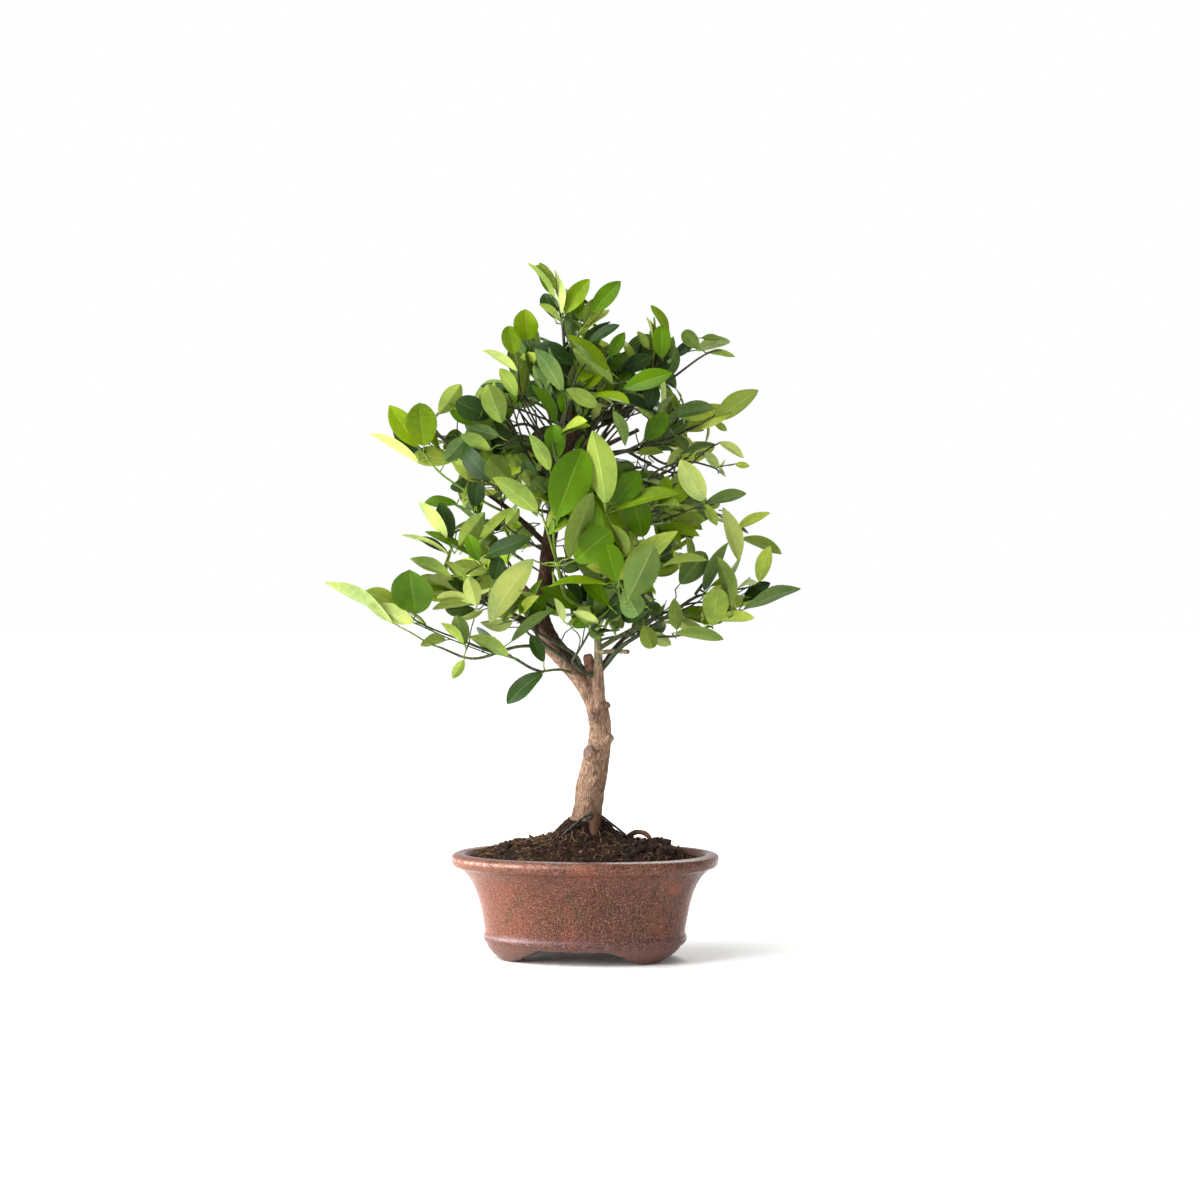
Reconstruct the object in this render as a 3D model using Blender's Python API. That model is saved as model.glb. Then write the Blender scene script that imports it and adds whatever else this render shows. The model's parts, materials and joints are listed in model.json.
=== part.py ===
"""Calamondin bonsai in an oval glazed pot on four cloud feet.

Metres, +Z up. Places below are measured from the middle of the pot, with the pot's long axis along X and
its front towards -Y. The whole plant is then set down with the middle of its bounding box at X = Y = 0
and the feet on Z = 0.
"""

import math
from typing import NamedTuple

import bmesh
import bpy
import numpy as np
from mathutils import Vector, noise

# Gap that touching pieces keep
GAP = 0.0003

# Edges sharper than this stay crisp, in degrees
POT_SHARP = 40.0
LIMB_SHARP = 60.0

# Pot
POT_LENGTH = 0.210
POT_WIDTH = 0.162
POT_HEIGHT = 0.0825
OVAL_POWER = 2.2
OVAL_SIDES = 36
FOOT_HEIGHT = 0.0115
WAIST_HALF = 0.0788
WAIST_HEIGHT = 0.0229
WALL_TOP_HALF = 0.0972
WALL_TOP_HEIGHT = 0.0704
WALL_STEPS = 4
WALL_STEP_EASE = 0.8
WALL_THICKNESS = 0.006
FLARE_SHARE = 0.78
FLARE_POWER = 1.6
LIP_POWER = 9
FLOOR_TOP = 0.0195
FLOOR_HALF = 0.0700
RIM_CREST_HALF = 0.0960
RIM_INNER_STEP = (0.0015, 0.0010)
RIM_UNDER_HEIGHT = 0.0732
RIM_UNDER_INSET = 0.0016
RIM_EDGE_LOW = 0.0760
RIM_EDGE_HIGH = 0.0803
RIM_EDGE_INSET = 0.0006
BEAD_HALF = 0.0799
BEAD_HEIGHT = 0.0165
BASE_HALF = 0.0769

# Feet, each an arc of the oval with swept-in ends; levels run from 0 at the surface to 1 inside the floor
FOOT_BEARINGS = (39.5, 140.5, 219.5, 320.5)
FOOT_LEVELS = (0.0, 0.12, 0.4, 0.7, 1.0)
FOOT_TOP_HALF = 0.0758
FOOT_BOTTOM_HALF = 0.0672
FOOT_TOP_SPREAD = 22.0
FOOT_BOTTOM_SPREAD = 11.0
FOOT_EDGE_SPREAD = 2.0
FOOT_TOP_DEPTH = 0.020
FOOT_BOTTOM_DEPTH = 0.013
FOOT_SWEEP_POWER = 1.8
FOOT_CORNER_INSET = 0.002
FOOT_SINK = 0.003
FOOT_ARC_POINTS = 6

# Drain holes in the floor
DRAIN_DIAMETER = 0.014
DRAIN_OFFSET = 0.042
DRAIN_SIDES = 16
DRAIN_CUT = 0.03

# Soil, a low mound with a level place for the trunk
SOIL_EDGE = 0.0780
SOIL_CROWN = 0.0172
SOIL_CROWN_POWER = 2.4
SOIL_CONE = 0.0118
SOIL_CONE_REACH = 0.0060
SOIL_HEAP = (0.040, -0.004)
SOIL_HEAP_HEIGHT = 0.0035
SOIL_HEAP_REACH = 0.024
SOIL_FADE = 0.010
TRUNK_FOOT_HEIGHT = SOIL_EDGE + SOIL_CROWN + SOIL_CONE
TRUNK_FOOT_PAD = 0.0148
SOIL_RINGS = 5
SOIL_INNER_RING = 1.35 * TRUNK_FOOT_PAD
SOIL_ROUGHNESS = 0.0016
SOIL_GRAIN = 60.0

# Trunk: place on its middle line and radius, from the cut at the soil to the tip in the crown
TRUNK_SIDES = 12
TRUNK_LINE = (
    ((0.001, 0.000, TRUNK_FOOT_HEIGHT + GAP), 0.0128),
    ((0.002, 0.000, 0.116), 0.0110),
    ((0.005, 0.001, 0.138), 0.0109),
    ((0.011, 0.001, 0.167), 0.0090),
    ((0.011, 0.002, 0.188), 0.0081),
    ((0.003, 0.003, 0.210), 0.0080),
    ((-0.015, 0.005, 0.232), 0.0076),
    ((-0.029, 0.007, 0.248), 0.0076),
    ((-0.037, 0.008, 0.270), 0.0070),
    ((-0.032, 0.006, 0.300), 0.0059),
    ((-0.027, 0.001, 0.334), 0.0054),
    ((-0.020, -0.003, 0.370), 0.0048),
    ((-0.009, -0.001, 0.414), 0.0036),
)
TRUNK_STEPS = 2
TRUNK_LUMP = 0.10
TRUNK_LUMP_GRAIN = 90.0

# Boughs
BOUGH_SIDES = 8
BOUGH_STEPS = 3

# Wire that holds the tree down, from the soil on one side over the foot of the trunk to the other
WIRE_RADIUS = 0.00085
WIRE_PATH = (
    (-0.027, -0.004, 0.0920), (-0.021, -0.006, 0.0995), (-0.010, -0.0115, 0.1075), (0.0015, -0.0158, 0.1120),
    (0.013, -0.0128, 0.1108), (0.024, -0.008, 0.1050), (0.032, -0.006, 0.0990), (0.037, -0.005, 0.0925),
)
WIRE_SIDES = 6
WIRE_STEPS = 2

# Roots that show above the soil: path, radius where it starts and where it ends
SURFACE_ROOTS = {
    "surface_root_front": (((0.004, -0.005, 0.1065), (0.008, -0.0165, 0.1015), (0.0105, -0.0235, 0.0890)),
                           0.0050, 0.0034),
    "surface_root_right": (((0.034, 0.002, 0.0900), (0.0380, -0.001, 0.0985), (0.044, -0.003, 0.1008),
                            (0.0500, -0.005, 0.0975), (0.053, -0.006, 0.0890)), 0.0019, 0.0014),
}
ROOT_STEPS = 2
ROOT_SIDES = 7

# Masses of leaves, each a closed form of rings about its long axis
LEAF_RINGS = 6
LEAF_SIDES = 10
UNEVENNESS = 0.20
LUMP_SIZE = 0.022
TIP_TAPER = 0.28
EMBRACE = 0.008

# Planes that part the masses: how many ways they may face, room round a limb, least distance from a middle
WAYS = 400
LIMB_ROOM = 1.06
LEAST_ROOM = 0.002


class Bough(NamedTuple):
    """A tapering limb through a few places, from inside its parent to where it enters its mass."""

    name: str
    parent: str
    thick: float
    thin: float
    path: tuple
    mass: str


class Mass(NamedTuple):
    """A spray of leaves from its inner end to its outer tip, with its half width and half rise."""

    name: str
    inner: tuple
    outer: tuple
    half_width: float
    half_rise: float


BOUGHS = (
    Bough("second_stem", "trunk", 0.0056, 0.0034,
          ((0.008, 0.001, 0.200), (0.011, -0.004, 0.235), (0.011, -0.009, 0.270), (0.014, -0.005, 0.312)),
          "core_right"),
    Bough("bough_right_low", "second_stem", 0.0034, 0.0022,
          ((0.011, -0.006, 0.242), (0.028, -0.007, 0.252), (0.058, -0.006, 0.268)), "right_low"),
    Bough("bough_right_green", "second_stem", 0.0028, 0.0018,
          ((0.010, -0.002, 0.221), (0.021, 0.008, 0.240), (0.034, 0.017, 0.256)), "right_low_inner"),
    Bough("bough_right_middle", "second_stem", 0.0030, 0.0020,
          ((0.013, -0.006, 0.300), (0.030, -0.020, 0.322), (0.056, -0.038, 0.345)), "right_middle"),
    Bough("bough_front_right", "second_stem", 0.0030, 0.0020,
          ((0.011, -0.009, 0.268), (0.022, -0.024, 0.278), (0.036, -0.042, 0.293)), "front_right"),
    Bough("bough_front_left", "trunk", 0.0034, 0.0020,
          ((-0.036, 0.007, 0.262), (-0.037, -0.014, 0.270), (-0.037, -0.040, 0.281)), "front_left"),
    Bough("bough_left_low", "trunk", 0.0038, 0.0026,
          ((-0.030, 0.007, 0.252), (-0.048, -0.001, 0.264), (-0.067, -0.009, 0.272)), "left_low"),
    Bough("bough_left_drooping", "trunk", 0.0026, 0.0016,
          ((-0.024, 0.006, 0.243), (-0.050, -0.020, 0.244), (-0.082, -0.036, 0.235), (-0.108, -0.044, 0.244)),
          "left_droop_tip"),
    Bough("bough_left_lowest", "trunk", 0.0024, 0.0015,
          ((-0.008, 0.003, 0.222), (-0.018, -0.014, 0.226), (-0.030, -0.032, 0.225)), "left_lowest"),
    Bough("bough_left_upper", "trunk", 0.0036, 0.0022,
          ((-0.029, 0.003, 0.322), (-0.058, -0.006, 0.350), (-0.092, -0.018, 0.376)), "left_upper_tip"),
    Bough("bough_front", "trunk", 0.0034, 0.0022,
          ((-0.026, 0.001, 0.336), (-0.018, -0.024, 0.348), (-0.006, -0.054, 0.358)), "front_middle"),
    Bough("bough_right_upper", "trunk", 0.0036, 0.0022,
          ((-0.018, -0.002, 0.380), (0.012, -0.008, 0.398), (0.044, -0.018, 0.412)), "right_upper"),
    Bough("bough_top", "trunk", 0.0030, 0.0018,
          ((-0.011, -0.001, 0.404), (-0.010, -0.001, 0.440), (-0.014, -0.003, 0.482)), "top_left"),
    Bough("bough_right_top", "trunk", 0.0028, 0.0018,
          ((-0.010, -0.001, 0.408), (0.016, 0.004, 0.426), (0.045, 0.006, 0.444)), "right_top"),
    Bough("bough_back", "trunk", 0.0034, 0.0022,
          ((-0.021, -0.002, 0.362), (-0.018, 0.026, 0.368), (-0.019, 0.056, 0.376)), "back_middle"),
    Bough("bough_back_right", "trunk", 0.0030, 0.0020,
          ((-0.015, -0.002, 0.390), (0.010, 0.028, 0.396), (0.040, 0.056, 0.402)), "back_right"),
    Bough("bough_back_low_left", "trunk", 0.0034, 0.0020,
          ((-0.037, 0.008, 0.274), (-0.046, 0.026, 0.284), (-0.058, 0.048, 0.294)), "back_low_left"),
    Bough("bough_back_low_right", "trunk", 0.0034, 0.0020,
          ((-0.034, 0.007, 0.290), (-0.012, 0.030, 0.296), (0.020, 0.054, 0.303)), "back_low_right"),
)

MASSES = (
    Mass("top_left", (-0.012, -0.002, 0.482), (-0.034, -0.009, 0.545), 0.020, 0.020),
    Mass("top_right", (0.002, -0.010, 0.476), (0.024, -0.010, 0.530), 0.017, 0.016),
    Mass("top_front", (0.008, -0.016, 0.424), (-0.006, -0.080, 0.476), 0.036, 0.026),
    Mass("top_back", (0.000, 0.022, 0.420), (0.002, 0.078, 0.496), 0.042, 0.030),
    Mass("top_middle", (-0.004, 0.002, 0.440), (0.004, 0.000, 0.484), 0.030, 0.026),
    Mass("left_top", (-0.026, -0.022, 0.436), (-0.053, -0.030, 0.502), 0.021, 0.018),
    Mass("right_top", (0.045, 0.006, 0.440), (0.060, 0.002, 0.512), 0.024, 0.022),
    Mass("right_top_tip", (0.066, 0.016, 0.466), (0.117, 0.028, 0.486), 0.017, 0.014),
    Mass("right_upper", (0.045, -0.018, 0.414), (0.100, -0.036, 0.432), 0.026, 0.022),
    Mass("right_upper_tip", (0.084, -0.014, 0.410), (0.139, -0.006, 0.444), 0.014, 0.013),
    Mass("right_thin", (0.062, 0.030, 0.388), (0.126, 0.046, 0.397), 0.018, 0.016),
    Mass("right_middle", (0.055, -0.036, 0.350), (0.112, -0.070, 0.360), 0.030, 0.032),
    Mass("right_outer", (0.078, -0.008, 0.348), (0.150, -0.010, 0.346), 0.023, 0.022),
    Mass("right_low_tip", (0.104, -0.016, 0.304), (0.172, -0.018, 0.289), 0.022, 0.023),
    Mass("right_low", (0.058, -0.006, 0.274), (0.131, -0.012, 0.272), 0.022, 0.024),
    Mass("right_low_inner", (0.034, 0.018, 0.262), (0.078, 0.046, 0.260), 0.022, 0.018),
    Mass("core_right", (0.014, -0.005, 0.312), (0.036, 0.012, 0.404), 0.034, 0.036),
    Mass("core_left", (-0.028, 0.006, 0.325), (-0.088, 0.008, 0.326), 0.030, 0.028),
    Mass("front_middle", (-0.004, -0.054, 0.358), (0.006, -0.136, 0.368), 0.048, 0.038),
    Mass("front_right", (0.037, -0.042, 0.296), (0.056, -0.122, 0.304), 0.034, 0.036),
    Mass("front_low", (0.011, -0.009, 0.260), (0.012, -0.084, 0.258), 0.030, 0.018),
    Mass("front_left", (-0.037, -0.040, 0.284), (-0.046, -0.108, 0.282), 0.027, 0.032),
    Mass("left_upper_tip", (-0.095, -0.018, 0.380), (-0.150, -0.034, 0.434), 0.019, 0.017),
    Mass("left_upper", (-0.030, -0.010, 0.402), (-0.108, -0.036, 0.440), 0.032, 0.027),
    Mass("left_middle", (-0.034, -0.016, 0.362), (-0.097, -0.056, 0.374), 0.032, 0.027),
    Mass("left_outer", (-0.070, -0.026, 0.334), (-0.137, -0.044, 0.338), 0.023, 0.023),
    Mass("left_low", (-0.068, -0.010, 0.276), (-0.138, -0.030, 0.303), 0.023, 0.019),
    Mass("left_droop_tip", (-0.108, -0.044, 0.252), (-0.194, -0.064, 0.293), 0.018, 0.017),
    Mass("left_droop_low", (-0.066, -0.040, 0.248), (-0.111, -0.052, 0.264), 0.016, 0.016),
    Mass("left_lowest", (-0.030, -0.032, 0.225), (-0.057, -0.038, 0.200), 0.013, 0.009),
    Mass("back_middle", (-0.019, 0.056, 0.377), (-0.028, 0.134, 0.389), 0.048, 0.040),
    Mass("back_left", (-0.050, 0.030, 0.396), (-0.110, 0.096, 0.420), 0.036, 0.034),
    Mass("back_right", (0.040, 0.054, 0.402), (0.082, 0.118, 0.412), 0.036, 0.036),
    Mass("back_low_left", (-0.058, 0.048, 0.300), (-0.106, 0.100, 0.302), 0.036, 0.030),
    Mass("back_low_right", (0.020, 0.052, 0.305), (0.058, 0.124, 0.309), 0.038, 0.032),
)


# Small helpers

def clear_scene():
    for obj in list(bpy.data.objects):
        bpy.data.objects.remove(obj, do_unlink=True)


def material(name, colour, roughness):
    """A plain Principled material."""
    made = bpy.data.materials.new(name)
    made.use_nodes = True
    shader = made.node_tree.nodes["Principled BSDF"]
    shader.inputs["Base Color"].default_value = (*colour, 1.0)
    shader.inputs["Roughness"].default_value = roughness
    return made


def add_object(name, mesh, finish, stand):
    obj = bpy.data.objects.new(name, mesh)
    bpy.context.collection.objects.link(obj)
    obj.parent = stand
    if finish is not None:
        mesh.materials.append(finish)
    return obj


def make_guide(obj):
    """Marks a cutter or a piece to be joined, which is not itself part of the plant."""
    obj.hide_render = True
    obj.display_type = "WIRE"
    return obj


def boolean(obj, other, operation):
    step = obj.modifiers.new(f"{operation.lower()}_{other.name}", "BOOLEAN")
    step.operation = operation
    step.object = other
    step.solver = "EXACT"


def shade(mesh, angle):
    mesh.shade_smooth()
    mesh.set_sharp_from_angle(angle=math.radians(angle))


def loft(name, rings):
    """One closed mesh through rings of equally many points, capped flat at both ends."""
    sheet = bmesh.new()
    loops = [[sheet.verts.new(point) for point in ring] for ring in rings]
    count = len(loops[0])
    for lower, upper in zip(loops, loops[1:]):
        for i in range(count):
            j = (i + 1) % count
            sheet.faces.new((lower[i], lower[j], upper[j], upper[i]))
    sheet.faces.new(list(reversed(loops[0])))
    sheet.faces.new(loops[-1])
    bmesh.ops.recalc_face_normals(sheet, faces=sheet.faces)
    mesh = bpy.data.meshes.new(name)
    sheet.to_mesh(mesh)
    sheet.free()
    return mesh


# Pot and soil

def oval_point(half_length, turn):
    """A point of the pot's oval, whose width stays a fixed amount under its length."""
    half_width = half_length - (POT_LENGTH - POT_WIDTH) / 2
    c, s = math.cos(turn), math.sin(turn)
    x = half_length * math.copysign(abs(c) ** (2 / OVAL_POWER), c)
    y = half_width * math.copysign(abs(s) ** (2 / OVAL_POWER), s)
    return x, y


def oval_ring(half_length, height):
    turns = (2 * math.pi * i / OVAL_SIDES for i in range(OVAL_SIDES))
    return [(*oval_point(half_length, turn), height) for turn in turns]


def wall_half(height):
    """Half length of the flaring outer wall at a height between its waist and the rim."""
    rise = (height - WAIST_HEIGHT) / (WALL_TOP_HEIGHT - WAIST_HEIGHT)
    flare = FLARE_SHARE * rise ** FLARE_POWER + (1 - FLARE_SHARE) * rise ** LIP_POWER
    return WAIST_HALF + (WALL_TOP_HALF - WAIST_HALF) * flare


def wall_heights():
    span = WALL_TOP_HEIGHT - WAIST_HEIGHT
    return [WAIST_HEIGHT + span * (i / WALL_STEPS) ** WALL_STEP_EASE for i in range(WALL_STEPS + 1)]


def inner_profile():
    """Half length and height up the inside of the pot, from the floor to the rim's inner edge."""
    profile = [(FLOOR_HALF, FLOOR_TOP)]
    profile += [(wall_half(z) - WALL_THICKNESS, z) for z in wall_heights()]
    profile.append((RIM_CREST_HALF - RIM_INNER_STEP[0], POT_HEIGHT - RIM_INNER_STEP[1]))
    return profile


def outer_profile():
    """Half length and height up the outside, from the underside to the rim's crest."""
    rim_half = POT_LENGTH / 2
    profile = [(BASE_HALF, FOOT_HEIGHT), (BEAD_HALF, BEAD_HEIGHT)]
    profile += [(wall_half(z), z) for z in wall_heights()]
    profile.append((rim_half - RIM_UNDER_INSET, RIM_UNDER_HEIGHT))
    profile.append((rim_half, RIM_EDGE_LOW))
    profile.append((rim_half - RIM_EDGE_INSET, RIM_EDGE_HIGH))
    profile.append((RIM_CREST_HALF, POT_HEIGHT))
    return profile


def foot_ring(bearing, level):
    """The outline of one foot at a level from 0 at the surface to 1 inside the pot's floor."""
    ease = math.sin(level * math.pi / 2)
    half = FOOT_BOTTOM_HALF + (FOOT_TOP_HALF - FOOT_BOTTOM_HALF) * ease
    spread = FOOT_BOTTOM_SPREAD + (FOOT_TOP_SPREAD - FOOT_BOTTOM_SPREAD) * level ** FOOT_SWEEP_POWER
    spread -= FOOT_EDGE_SPREAD * (level == 0)
    depth = FOOT_BOTTOM_DEPTH + (FOOT_TOP_DEPTH - FOOT_BOTTOM_DEPTH) * level
    height = level * (FOOT_HEIGHT + FOOT_SINK)
    ring = []
    for side in (1, -1):
        for i in range(FOOT_ARC_POINTS):
            share = side * (2 * i / (FOOT_ARC_POINTS - 1) - 1)
            inset = FOOT_CORNER_INSET * share ** 4
            reach = half - inset if side > 0 else half - depth + inset
            ring.append((*oval_point(reach, math.radians(bearing + spread * share)), height))
    return ring


def make_pot(stand, finish, foot_finish):
    rings = [oval_ring(half, z) for half, z in outer_profile()]
    rings += [oval_ring(half, z) for half, z in reversed(inner_profile())]
    pot = add_object("pot", loft("pot", rings), finish, stand)
    for number, bearing in enumerate(FOOT_BEARINGS, 1):
        mesh = loft(f"foot_{number}", [foot_ring(bearing, level) for level in FOOT_LEVELS])
        foot = make_guide(add_object(f"foot_{number}", mesh, foot_finish, stand))
        boolean(pot, foot, "UNION")
    for side in (-1, 1):
        sheet = bmesh.new()
        bmesh.ops.create_cone(sheet, cap_ends=True, segments=DRAIN_SIDES, radius1=DRAIN_DIAMETER / 2,
                              radius2=DRAIN_DIAMETER / 2, depth=DRAIN_CUT)
        mesh = bpy.data.meshes.new("drain")
        sheet.to_mesh(mesh)
        sheet.free()
        drain = make_guide(add_object(f"drain_{side}", mesh, None, stand))
        drain.location = (side * DRAIN_OFFSET, 0.0, FLOOR_TOP)
        boolean(pot, drain, "DIFFERENCE")
    shade(pot.data, POT_SHARP)


def soil_height(x, y, share):
    """The soil's surface at a place, where share is 0 at the middle and 1 at the pot's wall."""
    beyond = max(0.0, math.hypot(x, y) - TRUNK_FOOT_PAD)
    fade = min(1.0, beyond / SOIL_FADE)
    dome = SOIL_CROWN * (1 - share ** SOIL_CROWN_POWER)
    cone = SOIL_CONE * math.exp(-(beyond / SOIL_CONE_REACH) ** 2)
    aside = math.hypot(x - SOIL_HEAP[0], y - SOIL_HEAP[1])
    heap = SOIL_HEAP_HEIGHT * math.exp(-(aside / SOIL_HEAP_REACH) ** 2)
    rough = SOIL_ROUGHNESS * noise.noise(Vector((x, y, 0.5)) * SOIL_GRAIN)
    return SOIL_EDGE + dome + cone + (heap + rough) * fade


def soil_profile():
    """Half length and height up the soil's side, which follows the pot's inside at a small gap."""
    profile = inner_profile()
    (low_half, low), (high_half, high) = profile[-2:]
    part = (SOIL_EDGE - low) / (high - low)
    profile[-1] = (low_half + (high_half - low_half) * part, SOIL_EDGE)
    profile[0] = (FLOOR_HALF, FLOOR_TOP + GAP)
    return [(half - 2 * GAP, z) for half, z in profile]


def soil_mesh(name, extra=0.0):
    """The soil as a closed mesh, with its top raised by an extra amount for a cutter."""
    side = soil_profile()
    rings = [oval_ring(half, z) for half, z in side]
    edge = side[-1][0]
    for i in range(1, SOIL_RINGS + 1):
        share = 1 - i / SOIL_RINGS * (1 - SOIL_INNER_RING / edge)
        ring = []
        for k in range(OVAL_SIDES):
            x, y = oval_point(edge, 2 * math.pi * k / OVAL_SIDES)
            ring.append((x * share, y * share, soil_height(x * share, y * share, share) + extra))
        rings.append(ring)
    pad = []
    for k in range(OVAL_SIDES):
        turn = 2 * math.pi * k / OVAL_SIDES
        x, y = TRUNK_FOOT_PAD * math.cos(turn), TRUNK_FOOT_PAD * math.sin(turn)
        pad.append((x, y, TRUNK_FOOT_HEIGHT + extra))
    rings.append(pad)
    return loft(name, rings)


def make_soil(stand, finish):
    soil = add_object("soil", soil_mesh("soil"), finish, stand)
    shade(soil.data, POT_SHARP)


# Trunk, boughs and wire

def smooth_path(places, steps):
    """Points of a Catmull-Rom curve through the places, steps to each stretch."""
    known = [np.array(place, float) for place in places]
    known = [2 * known[0] - known[1], *known, 2 * known[-1] - known[-2]]
    curve = []
    for a, b, c, d in zip(known, known[1:], known[2:], known[3:]):
        for i in range(steps):
            t = i / steps
            curve.append(0.5 * (2 * b + (c - a) * t + (2 * a - 5 * b + 4 * c - d) * t ** 2
                                + (3 * b - a - 3 * c + d) * t ** 3))
    curve.append(known[-2])
    return curve


def limb_rings(line, radii, sides, level_foot=False, lump=0.0):
    """Rings square to a line, turned as little as possible from one to the next."""
    directions = np.gradient(np.array(line), axis=0)
    directions /= np.linalg.norm(directions, axis=1)[:, None]
    across = np.cross(directions[0], (0.0, 1.0, 0.0))
    rings = []
    for number, (place, way, radius) in enumerate(zip(line, directions, radii)):
        if level_foot and number == 0:
            way = np.array((0.0, 0.0, 1.0))
        across = across - way * np.dot(across, way)
        across /= np.linalg.norm(across)
        up = np.cross(way, across)
        ring = []
        for k in range(sides):
            turn = 2 * math.pi * k / sides
            spoke = across * math.cos(turn) + up * math.sin(turn)
            uneven = 1 + lump * noise.noise(Vector(place + spoke * radius) * TRUNK_LUMP_GRAIN)
            ring.append(tuple(place + spoke * radius * uneven))
        rings.append(ring)
    return rings


def trunk_rings(extra=0.0):
    """The trunk's rings, middle line and radii, grown by an extra amount for a cutter."""
    line = smooth_path([place for place, _ in TRUNK_LINE], TRUNK_STEPS)
    radii = [value[0] + extra for value in smooth_path([(radius,) for _, radius in TRUNK_LINE], TRUNK_STEPS)]
    return limb_rings(line, radii, TRUNK_SIDES, level_foot=True, lump=TRUNK_LUMP), line, radii


def bough_rings(bough, extra=0.0):
    line = smooth_path(bough.path, BOUGH_STEPS)
    shares = np.linspace(0, 1, len(line))
    radii = [bough.thick + (bough.thin - bough.thick) * share + extra for share in shares]
    return limb_rings(line, radii, BOUGH_SIDES), line, radii


def make_limbs(stand, old_bark, young_bark):
    """The trunk and boughs, each bough cut clear of its parent, and their middle lines by name."""
    rings, line, radii = trunk_rings()
    trunk = add_object("trunk", loft("trunk", rings), old_bark, stand)
    shade(trunk.data, LIMB_SHARP)
    lines = {"trunk": (line, radii)}
    trunk_clear = loft("trunk_clear", trunk_rings(GAP)[0])
    cutters = {"trunk": make_guide(add_object("trunk_clear", trunk_clear, None, stand))}
    for bough in BOUGHS:
        rings, line, radii = bough_rings(bough)
        limb = add_object(bough.name, loft(bough.name, rings), young_bark, stand)
        boolean(limb, cutters[bough.parent], "DIFFERENCE")
        shade(limb.data, LIMB_SHARP)
        lines[bough.name] = (line, radii)
        if any(other.parent == bough.name for other in BOUGHS):
            name = f"{bough.name}_clear"
            clear = add_object(name, loft(name, bough_rings(bough, GAP)[0]), None, stand)
            cutters[bough.name] = make_guide(clear)
    return lines


def tube_rings(path, start_radius, end_radius, steps, sides):
    line = smooth_path(path, steps)
    return limb_rings(line, np.linspace(start_radius, end_radius, len(line)), sides)


def make_soil_trim(stand, bark, wire_finish):
    """The wire and the roots that show, ending where they meet the soil and the trunk."""
    soil_clear = make_guide(add_object("soil_clear", soil_mesh("soil_clear", GAP), None, stand))
    trunk_clear = bpy.data.objects["trunk_clear"]
    wire = tube_rings(WIRE_PATH, WIRE_RADIUS, WIRE_RADIUS, WIRE_STEPS, WIRE_SIDES)
    pieces = {"anchor_wire": (wire, wire_finish)}
    for name, (path, start_radius, end_radius) in SURFACE_ROOTS.items():
        pieces[name] = (tube_rings(path, start_radius, end_radius, ROOT_STEPS, ROOT_SIDES), bark)
    for name, (rings, finish) in pieces.items():
        piece = add_object(name, loft(name, rings), finish, stand)
        boolean(piece, soil_clear, "DIFFERENCE")
        if name == "surface_root_front":
            boolean(piece, trunk_clear, "DIFFERENCE")
        shade(piece.data, LIMB_SHARP)


# Masses of leaves

def spread_directions(count):
    """Unit vectors spread evenly over the sphere."""
    number = np.arange(count) + 0.5
    height = 1 - 2 * number / count
    turn = math.pi * (1 + math.sqrt(5)) * number
    flat = np.sqrt(1 - height ** 2)
    return np.stack([flat * np.cos(turn), flat * np.sin(turn), height], axis=1)


class Cloud:
    """A mass as rays from its middle, each with a length that planes may shorten."""

    def __init__(self, mass):
        inner, outer = np.array(mass.inner), np.array(mass.outer)
        inner = inner - (outer - inner) / np.linalg.norm(outer - inner) * EMBRACE
        self.name = mass.name
        self.middle = (inner + outer) / 2
        along = (outer - inner) / 2
        level = np.cross(along, (0.0, 0.0, 1.0))
        level /= np.linalg.norm(level)
        rise = np.cross(level, along)
        rise /= np.linalg.norm(rise)
        self.spokes = []
        for i in range(LEAF_RINGS + 2):
            polar = math.pi * i / (LEAF_RINGS + 1)
            for k in range(1 if i in (0, LEAF_RINGS + 1) else LEAF_SIDES):
                turn = 2 * math.pi * (k + 0.5 * (i % 2)) / LEAF_SIDES
                taper = 1 - TIP_TAPER * max(0.0, math.cos(polar)) ** 2
                ray = (along * math.cos(polar)
                       + level * mass.half_width * math.sin(polar) * math.cos(turn) * taper
                       + rise * mass.half_rise * math.sin(polar) * math.sin(turn) * taper)
                lump = noise.noise(Vector((self.middle + ray) / LUMP_SIZE))
                self.spokes.append(ray * (1 + UNEVENNESS * lump))
        self.spokes = np.array(self.spokes)

    def reach(self, direction):
        return (self.spokes @ direction).max()

    def keep_below(self, direction, limit):
        """Shortens each ray that crosses the plane direction . place = limit."""
        ahead = self.spokes @ direction
        room = limit - self.middle @ direction
        if room <= 0:
            raise ValueError(f"the middle of {self.name} is behind a plane")
        over = ahead > room
        self.spokes[over] *= (room / ahead[over])[:, None]

    def rings(self):
        points = self.middle + self.spokes
        first, last = points[0], points[-1]
        loops = points[1:-1].reshape(LEAF_RINGS, LEAF_SIDES, 3)
        return first, loops, last


def stand_clear_of_limbs(cloud, lines):
    """Cuts a mass back to where its own bough ends, and clear of every other limb that passes."""
    ways = spread_directions(WAYS)
    for name, (line, radii) in lines.items():
        if any(b.name == name and b.mass == cloud.name for b in BOUGHS):
            way = np.array(line[-2]) - np.array(line[-1])
            way /= np.linalg.norm(way)
            cloud.keep_below(way, way @ np.array(line[-1]) - GAP)
            continue
        for start, end, radius in zip(line, line[1:], radii):
            near_side = np.minimum(ways @ start, ways @ end) - radius * LIMB_ROOM - GAP
            room = near_side - ways @ cloud.middle
            loss = (cloud.spokes @ ways.T).max(axis=0) - room
            loss[room < LEAST_ROOM] += 1.0
            best = int(loss.argmin())
            if loss[best] > 0:
                cloud.keep_below(ways[best], near_side[best])


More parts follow.
